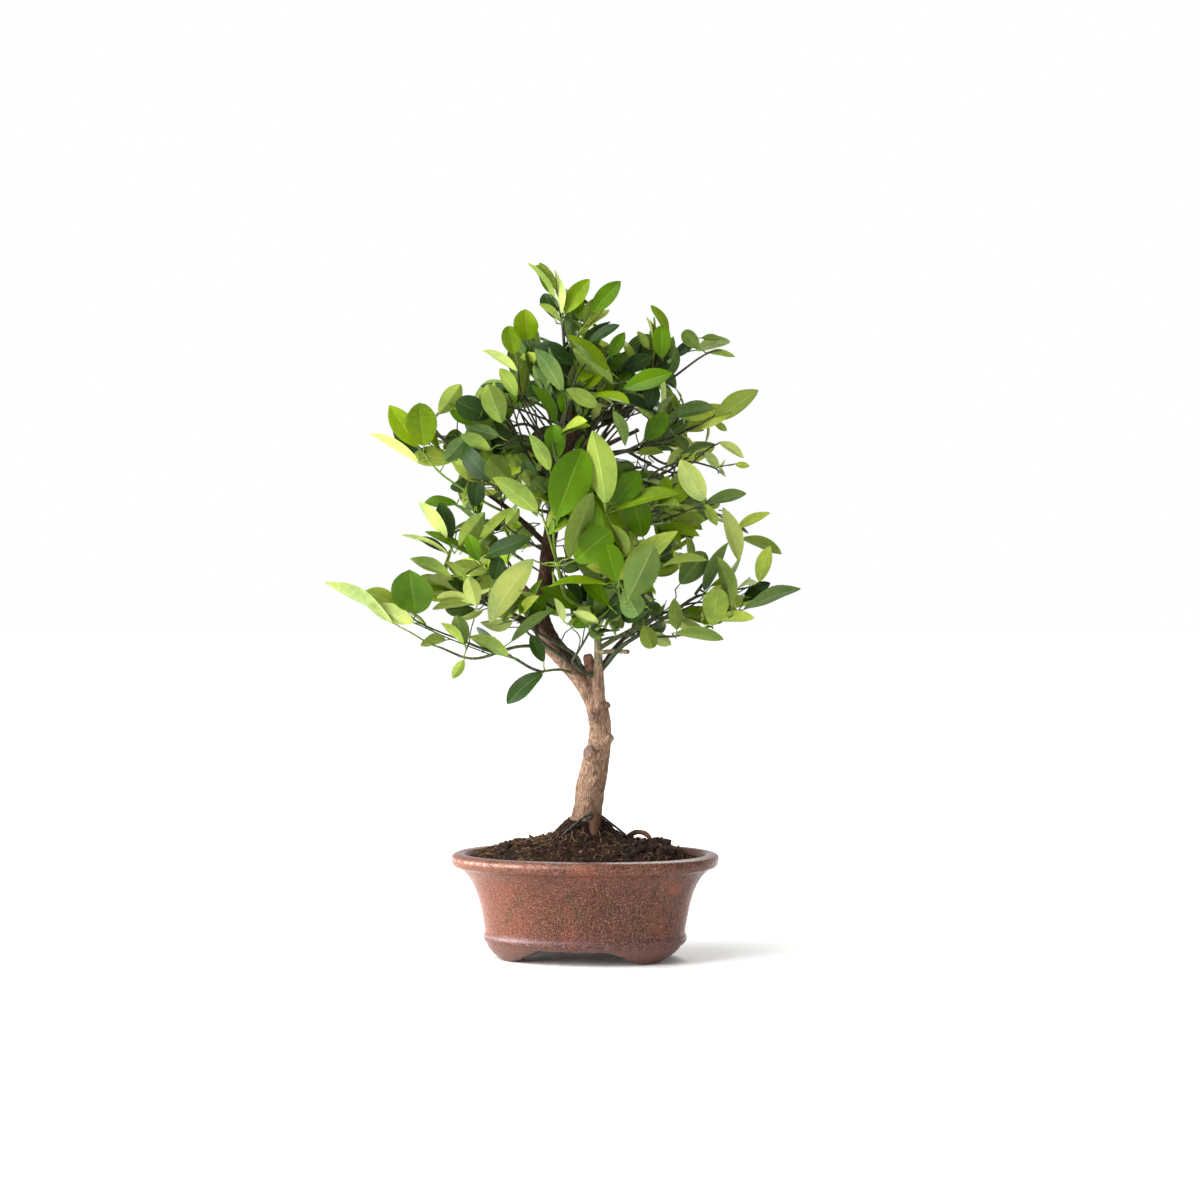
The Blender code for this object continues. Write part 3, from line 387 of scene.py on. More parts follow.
EYE = np.array(VIEW_RIGHT * VIEW_ASIDE - VIEW_AHEAD * VIEW_DISTANCE + Vector((0.0, 0.0, VIEW_HEIGHT)))


def unit(vector):
    return vector / max(np.linalg.norm(vector), 1e-9)


def smooth_path(places, steps):
    """Points of a Catmull-Rom curve through the places, steps to each stretch."""
    known = [np.array(place, float) for place in places]
    known = [2 * known[0] - known[1], *known, 2 * known[-1] - known[-2]]
    curve = []
    for a, b, c, d in zip(known, known[1:], known[2:], known[3:]):
        for i in range(steps):
            t = i / steps
            curve.append(0.5 * (2 * b + (c - a) * t + (2 * a - 5 * b + 4 * c - d) * t ** 2
                                + (3 * b - a - 3 * c + d) * t ** 3))
    curve.append(known[-2])
    return np.array(curve)


def frames_along(line):
    """Direction, and two directions square to it, at each point of a line, turned as little as possible."""
    ways = np.gradient(line, axis=0)
    ways /= np.linalg.norm(ways, axis=1)[:, None]
    across = np.cross(ways[0], (0.0, 1.0, 0.0))
    if np.linalg.norm(across) < 0.2:
        across = np.cross(ways[0], (1.0, 0.0, 0.0))
    sides, ups = [], []
    for way in ways:
        across = unit(across - way * np.dot(across, way))
        sides.append(across)
        ups.append(np.cross(way, across))
    return ways, np.array(sides), np.array(ups)


class Pile:
    """Many closed shapes gathered into one mesh, each face with the number of its material."""

    def __init__(self):
        self.points, self.faces, self.kinds, self.count = [], [], [], 0

    def add(self, points, faces, kinds):
        self.points.append(np.asarray(points, float))
        self.faces.extend([tuple(i + self.count for i in face) for face in faces])
        self.kinds.extend(kinds)
        self.count += len(points)

    def make(self, name, finishes, node_names, slot, crease=None):
        """The pile as a piece of the plant that stands for the given solids."""
        mesh = bpy.data.meshes.new(name)
        places = np.concatenate(self.points) + np.array(POT_MIDDLE)
        mesh.from_pydata(places.tolist(), [], self.faces)
        for finish in finishes:
            mesh.materials.append(finish)
        mesh.polygons.foreach_set("material_index", self.kinds)
        mesh.polygons.foreach_set("use_smooth", [True] * len(mesh.polygons))
        if crease:
            mesh.set_sharp_from_angle(angle=crease)
        mesh.update()
        return add_piece(bpy.data.objects.new(name, mesh), node_names)


def add_piece(obj, node_names):
    if obj.name not in bpy.context.scene.collection.objects:
        bpy.context.scene.collection.objects.link(obj)
    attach(obj, "root")
    if node_names:
        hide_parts(*node_names)
    return obj


def ring_faces(rows, sides, kind=0):
    """Faces of a tube of rings with a closing point at each end."""
    faces = []
    for i in range(rows - 1):
        for k in range(sides):
            j = (k + 1) % sides
            faces.append((i * sides + k, i * sides + j, (i + 1) * sides + j, (i + 1) * sides + k))
    first, last = rows * sides, rows * sides + 1
    for k in range(sides):
        j = (k + 1) % sides
        faces.append((first, j, k))
        faces.append((last, (rows - 1) * sides + k, (rows - 1) * sides + j))
    return faces, [kind] * len(faces)


def tube(line, radii, sides):
    """Points, faces and kinds of a plain tube with slightly domed ends."""
    line, radii = np.asarray(line, float), np.asarray(radii, float)
    ways, across, ups = frames_along(line)
    turns = 2 * math.pi * np.arange(sides) / sides
    spokes = across[:, None] * np.cos(turns)[None, :, None] + ups[:, None] * np.sin(turns)[None, :, None]
    points = (line[:, None] + spokes * radii[:, None, None]).reshape(-1, 3)
    ends = [line[0] - ways[0] * radii[0] * 0.4, line[-1] + ways[-1] * radii[-1] * 0.4]
    faces, kinds = ring_faces(len(line), sides)
    return np.concatenate([points, ends]), faces, kinds


def bark_tube(line, radii, sides, relief, grain, stretch, knots=0.10, dome=0.3):
    """A limb whose surface carries ridges and cracks that run along it. A dome below 0 is a hollow end."""
    line, radii = np.asarray(line, float), np.asarray(radii, float)
    ways, across, ups = frames_along(line)
    gone = np.concatenate([[0], np.cumsum(np.linalg.norm(np.diff(line, axis=0), axis=1))])
    points = []
    for place, side, up, radius, along in zip(line, across, ups, radii, gone):
        for k in range(sides):
            turn = 2 * math.pi * k / sides
            spoke = side * math.cos(turn) + up * math.sin(turn)
            round_it = Vector((math.cos(turn) * radius, math.sin(turn) * radius, along))
            swell = noise.noise(round_it * 55.0) * knots + noise.noise(round_it * 210.0) * knots * 0.5
            streak = Vector((round_it.x * grain, round_it.y * grain, along * grain / stretch))
            ridge = 1.0 - 2.0 * abs(noise.noise(streak))
            fine = noise.noise(streak * 2.3 + Vector((7.0, 3.0, 1.0)))
            height = relief * (0.55 * ridge + 0.45 * fine)
            points.append(place + spoke * (radius * (1 + swell) + height))
    ends = [line[0], line[-1] + ways[-1] * radii[-1] * dome]
    faces, kinds = ring_faces(len(line), sides)
    return np.concatenate([points, ends]), faces, kinds


# Materials

def tone(red, green, blue):
    """Linear light from the 0 to 255 values of a picture."""
    def linear(value):
        share = value / 255
        return share / 12.92 if share <= 0.04045 else ((share + 0.055) / 1.055) ** 2.4
    return linear(red), linear(green), linear(blue), 1.0


class Surface:
    """A Principled material built up from a few kinds of node."""

    def __init__(self, name, roughness, stretch=(1.0, 1.0, 1.0)):
        self.made = bpy.data.materials.new(name)
        self.made.use_nodes = True
        self.nodes, self.links = self.made.node_tree.nodes, self.made.node_tree.links
        self.shader = self.nodes["Principled BSDF"]
        self.shader.inputs["Roughness"].default_value = roughness
        place = self.nodes.new("ShaderNodeTexCoord")
        mapping = self.nodes.new("ShaderNodeMapping")
        mapping.inputs["Scale"].default_value = stretch
        self.links.new(place.outputs["Object"], mapping.inputs["Vector"])
        self.plain, self.place = place.outputs["Object"], mapping.outputs["Vector"]

    def noise(self, scale, detail=3.0, rough=0.55, stretched=True, warp=0.0):
        node = self.nodes.new("ShaderNodeTexNoise")
        node.inputs["Scale"].default_value = scale
        node.inputs["Detail"].default_value = detail
        node.inputs["Roughness"].default_value = rough
        node.inputs["Distortion"].default_value = warp
        self.links.new(self.place if stretched else self.plain, node.inputs["Vector"])
        return node.outputs[0]

    def cells(self, scale, stretched=True):
        node = self.nodes.new("ShaderNodeTexVoronoi")
        node.inputs["Scale"].default_value = scale
        self.links.new(self.place if stretched else self.plain, node.inputs["Vector"])
        return node.outputs["Distance"]

    def height(self):
        """Height above the surface the plant stands on, in metres."""
        node = self.nodes.new("ShaderNodeSeparateXYZ")
        self.links.new(self.plain, node.inputs[0])
        return node.outputs["Z"]

    def sideways(self):
        """How far to the right of the pot's middle, in metres."""
        node = self.nodes.new("ShaderNodeSeparateXYZ")
        self.links.new(self.plain, node.inputs[0])
        return self.math("SUBTRACT", node.outputs["X"], POT_MIDDLE.x)

    def spread(self, value, low, high, to_low=0.0, to_high=1.0):
        node = self.nodes.new("ShaderNodeMapRange")
        node.interpolation_type = "SMOOTHSTEP"
        self.links.new(value, node.inputs["Value"])
        node.inputs["From Min"].default_value = low
        node.inputs["From Max"].default_value = high
        node.inputs["To Min"].default_value = to_low
        node.inputs["To Max"].default_value = to_high
        return node.outputs[0]

    def math(self, operation, *values):
        node = self.nodes.new("ShaderNodeMath")
        node.operation = operation
        for socket, value in zip(node.inputs, values):
            if isinstance(value, float):
                socket.default_value = value
            else:
                self.links.new(value, socket)
        return node.outputs[0]

    def lines(self, value, middle, half):
        """1 on the thin lines where a noise passes a middle value, 0 away from them."""
        return self.times(self.spread(value, middle - half, middle),
                          self.spread(value, middle, middle + half, 1.0, 0.0))

    def times(self, one, other):
        return self.math("MULTIPLY", one, other)

    def mix(self, share, one, other):
        """A colour between two, each a colour or the result of another mix."""
        node = self.nodes.new("ShaderNodeMix")
        node.data_type = "RGBA"
        self.links.new(share, node.inputs[0])
        for socket, colour in ((node.inputs[6], one), (node.inputs[7], other)):
            if isinstance(colour, tuple):
                socket.default_value = colour
            else:
                self.links.new(colour, socket)
        return node.outputs[2]

    def colour(self, value):
        self.links.new(value, self.shader.inputs["Base Color"])

    def roughness(self, value):
        self.links.new(value, self.shader.inputs["Roughness"])

    def relief(self, value, strength, distance):
        node = self.nodes.new("ShaderNodeBump")
        node.inputs["Strength"].default_value = strength
        node.inputs["Distance"].default_value = distance
        self.links.new(value, node.inputs["Height"])
        self.links.new(node.outputs[0], self.shader.inputs["Normal"])


# Heights between which the bark starts to change, at the fork
FORK_HEIGHTS = (0.210, 0.226)

# The glaze ran down in points: half the space between them, the shift that puts one to the left of the front's
# middle, how steeply their edges rise, how far the edges stray, and the height they start from
DRIP_HALF_WIDTH = 0.0190
DRIP_SHIFT = 0.0253
DRIP_SLOPE = 1.45
DRIP_STRAY = 0.016
DRIP_FOOT = 0.0165


def glaze_finish():
    """Red-brown glaze, speckled orange and black, with darker runs, a mottled rim, a purple-grey bead, and painted
    light and shade.
    """
    made = Surface("pot_glaze", 0.34, stretch=(1.0, 1.0, 0.25))
    base = made.mix(made.spread(made.noise(26.0, 4.0), 0.35, 0.65), tone(66, 36, 29), tone(90, 49, 40))
    # Painted light and shade: the left of the pot is made lighter and the right darker, as the light falls from the
    # left
    painted_light_left = made.spread(made.sideways(), -0.095, 0.015, 1.0, 0.0)
    base = made.mix(made.times(painted_light_left, 0.46), base, tone(160, 96, 76))
    painted_shade_right = made.spread(made.sideways(), -0.010, 0.090)
    base = made.mix(made.times(painted_shade_right, 0.64), base, tone(40, 25, 20))
    flush = made.spread(made.noise(34.0, 3.0), 0.52, 0.74)
    base = made.mix(made.times(flush, 0.58), base, tone(146, 72, 46))
    runs = made.spread(made.noise(48.0, 5.0, 0.6, warp=0.8), 0.50, 0.66)
    base = made.mix(made.times(runs, 0.55), base, tone(54, 42, 34))
    peaks = made.math("PINGPONG", made.math("ADD", made.sideways(), DRIP_SHIFT), DRIP_HALF_WIDTH)
    stray = made.math("MULTIPLY", made.noise(60.0, 4.0, 0.6, stretched=False), DRIP_STRAY)
    edge_height = made.math("ADD", made.math("MULTIPLY", peaks, DRIP_SLOPE), made.math("ADD", stray, DRIP_FOOT))
    drips = made.lines(made.math("SUBTRACT", made.height(), edge_height), 0.0, 0.0075)
    drips = made.times(drips, made.spread(made.noise(40.0, 2.0, stretched=False), 0.40, 0.60))
    base = made.mix(made.times(drips, 0.46), base, tone(58, 54, 36))
    rim = made.spread(made.height(), 0.0700, 0.0722)
    rim_mottle = made.spread(made.noise(210.0, 5.0, 0.65, stretched=False), 0.38, 0.66)
    base = made.mix(made.times(made.times(rim, rim_mottle), 0.50), base, tone(116, 76, 64))
    # Painted highlight: a pale mottled strip high on the rim's outer face, on the left where the light falls
    painted_rim_highlight = made.times(made.lines(made.height(), 0.0788, 0.0020), made.spread(made.sideways(), -0.070, 0.030, 1.0, 0.0))
    painted_rim_highlight = made.times(painted_rim_highlight, made.spread(made.noise(130.0, 4.0, 0.6, stretched=False), 0.36, 0.56))
    base = made.mix(made.times(painted_rim_highlight, 0.75), base, tone(214, 172, 154))
    edge = made.spread(made.height(), 0.0802, 0.0818)
    base = made.mix(made.times(edge, 0.75), base, tone(80, 58, 56))
    low = made.spread(made.height(), 0.0190, 0.0225, 1.0, 0.0)
    base = made.mix(made.times(low, 0.60), base, tone(84, 64, 68))
    # Painted highlight: a pale band along the top of the bead, on the left where the light falls
    painted_bead_highlight = made.times(made.lines(made.height(), 0.0186, 0.0020), made.spread(made.sideways(), -0.075, 0.030, 1.0, 0.0))
    base = made.mix(made.times(painted_bead_highlight, 0.50), base, tone(176, 150, 156))
    dark = made.spread(made.noise(1200.0, 2.0, 0.65, stretched=False), 0.42, 0.48, 1.0, 0.0)
    base = made.mix(made.times(dark, 0.84), base, tone(28, 17, 14))
    orange = made.spread(made.noise(1330.0, 2.0, 0.65, stretched=False), 0.54, 0.61)
    base = made.mix(made.times(orange, 0.58), base, tone(184, 130, 104))
    foot = made.spread(made.height(), 0.0112, 0.0140, 1.0, 0.0)
    base = made.mix(made.times(foot, 0.85), base, tone(104, 74, 64))
    made.colour(base)
    made.roughness(made.spread(made.noise(240.0, 3.0), 0.3, 0.7, 0.22, 0.38))
    made.relief(made.noise(900.0, 4.0, 0.6, stretched=False), 0.30, 0.0005)
    made.shader.inputs["Specular IOR Level"].default_value = 0.18
    return made.made


def bark_finish(name, low_colours, high_colours, change_low, change_high, roughness=0.85, lean=(0.0, 1.0)):
    """Bark with dark cracks, whose colours change from the first three to the second three.

    They change with height, or with a mix of the place sideways and the height when lean says so.
    """
    made = Surface(name, roughness, stretch=(1.0, 1.0, 0.34))
    grain = made.spread(made.noise(520.0, 6.0, 0.7, warp=0.5), 0.34, 0.64)
    wide_cracks = made.lines(made.noise(240.0, 4.0, 0.6, warp=0.9), 0.5, 0.046)
    fine_cracks = made.lines(made.noise(520.0, 3.0, 0.6, warp=0.6), 0.5, 0.070)
    patches = made.spread(made.noise(75.0, 5.0, 0.65, stretched=False), 0.38, 0.64)
    shades = []
    for crack, middle, other in (low_colours, high_colours):
        pale = tuple(min(1.0, value * 1.75) for value in middle[:3]) + (1.0,)
        shade = made.mix(made.times(patches, 0.55), made.mix(grain, middle, pale), other)
        shade = made.mix(made.times(fine_cracks, 0.42), shade, crack)
        shades.append(made.mix(made.times(wide_cracks, 0.84), shade, crack))
    along = made.math("ADD", made.math("MULTIPLY", made.sideways(), lean[0]),
                      made.math("MULTIPLY", made.height(), lean[1]))
    changed = made.times(made.spread(along, change_low, change_high), made.spread(made.height(), *FORK_HEIGHTS))
    base = made.mix(changed, *shades)
    damp = made.spread(made.height(), 0.1040, 0.1230, 1.0, 0.0)
    base = made.mix(made.times(made.times(damp, patches), 0.8), base, tone(46, 36, 22))
    base = made.mix(made.spread(made.height(), 0.112, 0.150, 0.38, 0.0), base, tone(84, 62, 50))
    made.colour(base)
    made.relief(made.noise(640.0, 6.0, 0.65, warp=0.6), 0.7, 0.0010)
    made.shader.inputs["Specular IOR Level"].default_value = 0.12
    return made.made


def leaf_finish(name, colour, roughness, gloss):
    """One side of a leaf: its colour, a faint mottle and a fine relief."""
    made = Surface(name, roughness)
    lows, highs = (0.74, 0.80, 0.90), (1.28, 1.20, 1.05)
    shades = [tuple(value * change for value, change in zip(colour, row)) for row in (lows, highs)]
    whole = made.mix(made.spread(made.noise(21.0, 1.0), 0.36, 0.64), *[shade + (1.0,) for shade in shades])
    fine = made.spread(made.noise(230.0, 2.0), 0.36, 0.64)
    made.colour(made.mix(made.times(fine, 0.20), whole, tuple(min(1.0, value * 1.7) for value in colour[:3]) + (1.0,)))
    made.relief(made.noise(150.0, 1.0), 0.10, 0.0006)
    made.shader.inputs["Specular IOR Level"].default_value = gloss
    return made.made


def soil_finish():
    """Dark peat with paler crumbs and a little moss."""
    made = Surface("soil_peat", 0.95)
    base = made.mix(made.spread(made.noise(260.0, 5.0, 0.7), 0.36, 0.66), tone(16, 8, 5), tone(50, 31, 22))
    moss = made.spread(made.noise(46.0, 4.0, 0.6), 0.58, 0.70)
    base = made.mix(made.times(moss, 0.5), base, tone(56, 58, 24))
    crumbs = made.spread(made.cells(620.0), 0.10, 0.22, 1.0, 0.0)
    base = made.mix(made.times(crumbs, 0.35), base, tone(92, 66, 48))
    made.colour(base)
    made.relief(made.noise(600.0, 5.0, 0.7), 0.9, 0.0016)
    made.shader.inputs["Specular IOR Level"].default_value = 0.15
    return made.made


def plain_finish(name, one, other, roughness, scale=300.0, metal=0.0):
    """Two near colours mottled together, with a fine relief."""
    made = Surface(name, roughness)
    made.colour(made.mix(made.spread(made.noise(scale, 4.0, 0.6), 0.38, 0.62), one, other))
    made.relief(made.noise(scale * 2.2, 4.0), 0.4, 0.0005)
    made.shader.inputs["Metallic"].default_value = metal
    made.shader.inputs["Specular IOR Level"].default_value = 0.25
    return made.made


# Pot

def oval_points(half_length, turns):
    half_width = half_length - (POT_LENGTH - POT_WIDTH) / 2
    c, s = np.cos(turns), np.sin(turns)
    x = half_length * np.sign(c) * np.abs(c) ** (2 / OVAL_POWER)
    y = half_width * np.sign(s) * np.abs(s) ** (2 / OVAL_POWER)
    return x, y


def wavering(x, y, z):
    """How far hand-thrown clay strays from a true oval there."""
    return 0.00035 * noise.noise(Vector((x, y, z)) * 22.0)


def loft(name, rings):
    """One closed mesh through rings of equally many points, capped flat at both ends."""
    sides = len(rings[0])
    faces = []
    for i in range(len(rings) - 1):
        for k in range(sides):
            j = (k + 1) % sides
            faces.append((i * sides + k, i * sides + j, (i + 1) * sides + j, (i + 1) * sides + k))
    faces.append(tuple(reversed(range(sides))))
    faces.append(tuple(range((len(rings) - 1) * sides, len(rings) * sides)))
    mesh = bpy.data.meshes.new(name)
    mesh.from_pydata([tuple(point) for ring in rings for point in ring], [], faces)
    mesh.update()
    sheet = bmesh.new()
    sheet.from_mesh(mesh)
    bmesh.ops.recalc_face_normals(sheet, faces=sheet.faces)
    sheet.to_mesh(mesh)
    sheet.free()
    return mesh


def foot_ring(bearing, level):
    ease = math.sin(level * math.pi / 2)
    half = 0.0690 + (0.0782 - 0.0690) * ease
    spread = 9.5 + 33.0 * level - (1.5 * (1 - level / 0.035) if level < 0.035 else 0.0)
    depth = 0.0065 + 0.0135 * level
    shrink = 0.0008 * (1 - level / 0.035) if level < 0.035 else 0.0
    shares = np.linspace(-1, 1, 15)
    inset = 0.002 * shares ** 4 + shrink
    turns = np.radians(bearing + spread * shares)
    outer = np.stack(oval_points(half - inset, turns), axis=1)
    inner = np.stack(oval_points(half - depth + inset, turns[::-1]), axis=1)
    height = level * (FOOT_HEIGHT + 0.003)
    return [(*point, height) for point in np.concatenate([outer, inner])]


def make_pot():
    profile = smooth_path(POT_OUTSIDE, 2)
    turns = 2 * math.pi * np.arange(POT_SIDES) / POT_SIDES
    rings = []
    for half, z in profile:
        x, y = oval_points(half, turns)
        stray = np.array([1 + wavering(a, b, z) / half for a, b in zip(x, y)])
        rings.append(list(zip(x * stray, y * stray, [z] * POT_SIDES)))
    pot = bpy.data.objects.new("pot_body", loft("pot_body", rings))
    bpy.context.scene.collection.objects.link(pot)
    helpers = []
    for number, bearing in enumerate(FOOT_BEARINGS):
        mesh = loft(f"foot_{number}", [foot_ring(bearing, level) for level in FOOT_LEVELS])
        helpers.append((bpy.data.objects.new(f"foot_{number}", mesh), "UNION"))
    for side in (-1, 1):
        sheet = bmesh.new()
        bmesh.ops.create_cone(sheet, cap_ends=True, segments=48, radius1=DRAIN_DIAMETER / 2,
                              radius2=DRAIN_DIAMETER / 2, depth=0.03,
                              matrix=Matrix.Translation((side * DRAIN_OFFSET, 0.0, FLOOR_TOP)))
        mesh = bpy.data.meshes.new("drain")
        sheet.to_mesh(mesh)
        sheet.free()
        helpers.append((bpy.data.objects.new(f"drain_{side}", mesh), "DIFFERENCE"))
    for helper, operation in helpers:
        bpy.context.scene.collection.objects.link(helper)
        step = pot.modifiers.new(helper.name, "BOOLEAN")
        step.operation = operation
        step.object = helper
        step.solver = "EXACT"
    bpy.context.view_layer.update()
    shaped = bpy.data.meshes.new_from_object(pot.evaluated_get(bpy.context.evaluated_depsgraph_get()))
    pot.modifiers.clear()
    pot.data = shaped
    for helper, _ in helpers:
        bpy.data.objects.remove(helper)
    shaped.transform(Matrix.Translation(POT_MIDDLE))
    shaped.materials.clear()
    shaped.materials.append(glaze_finish())
    shaped.shade_smooth()
    shaped.set_sharp_from_angle(angle=math.radians(38.0))
    add_piece(pot, ["pot"])


# Soil

def soil_height(x, y, share):
    beyond = max(0.0, math.hypot(x, y) - TRUNK_FOOT_PAD)
    fade = min(1.0, 0.4 + beyond / 0.008)
    dome = SOIL_CROWN * (1 - share ** 2.4)
    cone = SOIL_CONE * math.exp(-(beyond / SOIL_CONE_REACH) ** 2)
    aside = math.hypot(x - SOIL_HEAP[0], y - SOIL_HEAP[1])
    heap = SOIL_HEAP_HEIGHT * math.exp(-(aside / SOIL_HEAP_REACH) ** 2)
    heap -= SOIL_DIP_DEPTH * math.exp(-((x - SOIL_DIP_PLACE) / SOIL_DIP_REACH[0]) ** 2
                                      - (y / SOIL_DIP_REACH[1]) ** 2)
    heap -= SOIL_SINK_DEPTH * math.exp(-((x - SOIL_SINK_PLACE) / SOIL_SINK_REACH) ** 2)
    rough = 0.0016 * noise.noise(Vector((x, y, 0.5)) * 60.0)
    return SOIL_EDGE + dome + cone + (heap + rough) * fade


def soil_share(x, y):
    half_width = SOIL_RIM_HALF - (POT_LENGTH - POT_WIDTH) / 2
    return min(1.0, ((abs(x) / SOIL_RIM_HALF) ** OVAL_POWER + (abs(y) / half_width) ** OVAL_POWER) ** (1 / OVAL_POWER))


def soil_top(x, y):
    """The height of the crumbled surface at a place."""
    share = soil_share(x, y)
    place = Vector((x, y, 0.3))
    crumb = 0.0017 * noise.noise(place * 170.0) + 0.0012 * noise.noise(place * 420.0)
    crumb += 0.0007 * noise.noise(place * 900.0)
    return soil_height(x, y, share) + crumb * min(1.0, (1.02 - share) * 12)


def lump_shape(level):
    """Corners and faces of a round stone to be dented."""
    sheet = bmesh.new()
    bmesh.ops.create_icosphere(sheet, subdivisions=level, radius=1.0)
    points = np.array([vert.co for vert in sheet.verts])
    faces = [tuple(vert.index for vert in face.verts) for face in sheet.faces]
    sheet.free()
    return points, faces


def make_soil(chance):
    ground = Pile()
    rings, sides = 64, 220
    turns = 2 * math.pi * np.arange(sides) / sides
    edge_x, edge_y = oval_points(SOIL_RIM_HALF, turns)
    points = [(x * 0.985, y * 0.985, SOIL_EDGE - SOIL_SKIRT) for x, y in zip(edge_x, edge_y)]
    for i in range(rings):
        share = 1 - i / rings
        points += [(x * share, y * share, soil_top(x * share, y * share)) for x, y in zip(edge_x, edge_y)]
    points.append((0.0, 0.0, SOIL_EDGE - SOIL_SKIRT))
    points.append((0.0, 0.0, soil_top(0.0, 0.0)))
    faces, kinds = ring_faces(rings + 1, sides)
    ground.add(points, faces, kinds)
    ground.make("soil_mound", [soil_finish()], ["soil"], "soil")

    crumbs, shapes = Pile(), [lump_shape(1), lump_shape(2)]
    for number in range(1700):
        turn, out = chance.uniform(0, 2 * math.pi), math.sqrt(chance.uniform(0.015, 0.97))
        x, y = oval_points(SOIL_RIM_HALF, np.array([turn]))
        x, y = float(x[0]) * out, float(y[0]) * out
        size = 0.0006 + 0.0015 * chance.uniform(0, 1) ** 2.8
        heaped = math.exp(-((x - SOIL_HEAP[0]) ** 2 + (y + 0.01) ** 2) / 0.03 ** 2)
        size *= 1 + 0.9 * heaped
        corners, shape_faces = shapes[size > 0.0017]
        stretch = np.array([chance.uniform(0.6, 1.7), chance.uniform(0.6, 1.3), chance.uniform(0.4, 0.9)])
        shift = Vector((number * 1.7, 0.0, 0.0))
        dents = np.array([1 + 0.75 * noise.noise(Vector(corner) * 1.7 + shift)
                          + 0.35 * noise.noise(Vector(corner) * 4.5 + shift) for corner in corners])
        spin = np.array(Matrix.Rotation(chance.uniform(0, 6.3), 3, chance.normal(size=3).tolist()))
        shaped = (corners * dents[:, None] * stretch * size) @ spin.T
        lift = soil_top(x, y) + size * chance.uniform(-0.3, 0.35)
        kind = 2 if chance.uniform() < 0.05 else (1 if chance.uniform() < 0.16 else 0)
        crumbs.add(shaped + (x, y, lift), shape_faces, [kind] * len(shape_faces))
    corners, shape_faces = lump_shape(3)
    for place, size, kind in (((0.0030, -0.050, 0.0), 0.0016, 3), ((0.0640, -0.0310, 0.0), 0.0048, 0),
                              ((0.0560, -0.0240, 0.0), 0.0042, 0), ((0.0480, -0.0350, 0.0), 0.0036, 0)):
        rough = 0.0 if kind == 3 else 0.5
        dents = np.array([1 + 0.16 * noise.noise(Vector(corner) * 1.6 + Vector(place) * 90)
                          + rough * noise.noise(Vector(corner) * 3.5) for corner in corners])
        lift = soil_top(place[0], place[1]) + size * 0.35
        crumbs.add(corners * dents[:, None] * size + (place[0], place[1], lift), shape_faces,
                   [kind] * len(shape_faces))
    finishes = [
        plain_finish("peat_dark", tone(22, 12, 8), tone(50, 32, 22), 0.95),
        plain_finish("peat_brown", tone(50, 32, 22), tone(82, 58, 42), 0.95),
        plain_finish("moss", tone(40, 40, 18), tone(64, 62, 30), 0.9),
        plain_finish("pebble", tone(104, 88, 70), tone(138, 120, 98), 0.8),
    ]
    crumbs.make("soil_crumbs", finishes, [], "soil", math.radians(40.0))

    fibres = Pile()
    for _ in range(900):
        turn, out = chance.uniform(0, 2 * math.pi), math.sqrt(chance.uniform(0.03, 0.90))
        x, y = oval_points(SOIL_RIM_HALF, np.array([turn]))
        x, y = float(x[0]) * out, float(y[0]) * out
        heading, length = chance.uniform(0, 2 * math.pi), chance.uniform(0.003, 0.013)
        arch, bend = chance.uniform(0.0001, 0.0024), chance.uniform(-1.6, 1.6)
        line = []
        for step in range(7):
            share = step / 6
            angle = heading + bend * share
            fx, fy = x + math.cos(angle) * length * share, y + math.sin(angle) * length * share
            scale = min(1.0, 0.985 / max(soil_share(fx, fy), 1e-6))
            fx, fy = fx * scale, fy * scale
            line.append((fx, fy, soil_top(fx, fy) + arch * math.sin(math.pi * share) + 0.0002))
        radius = chance.uniform(0.00012, 0.00036)
        points, faces, _ = tube(line, np.linspace(radius, radius * 0.5, 7), 5)
        fibres.add(points, faces, [int(chance.choice(3, p=(0.54, 0.32, 0.14)))] * len(faces))
    finishes = [plain_finish("fibre_dark", tone(44, 26, 17), tone(78, 50, 33), 0.9),
                plain_finish("fibre_pale", tone(104, 76, 50), tone(142, 110, 78), 0.9),
                plain_finish("fibre_moss", tone(56, 54, 22), tone(84, 80, 38), 0.9)]
    fibres.make("soil_fibres", finishes, [], "soil")


# Trunk and boughs

def limb_line(points, steps):
    """A smooth line and its radii from rows of place and radius."""
    curve = smooth_path(points, steps)
    return curve[:, :3], curve[:, 3]


def root_flare(points, line_count, sides):
    """Pushes the trunk's lowest rings out into five uneven roots."""
    foot_height = 0.1075
    for i in range(line_count * sides):
        x, y, z = points[i]
        low = math.exp(-max(0.0, z - foot_height) / 0.0065)
        turn = math.atan2(y, x)
        lobes = 0.5 + 0.5 * math.cos(5 * turn + 0.8 + 0.5 * math.sin(2 * turn))
        push = 1 + low * (0.10 * lobes - 0.02)
        points[i] = (0.001 + (x - 0.001) * push, y * push, z)
    return points


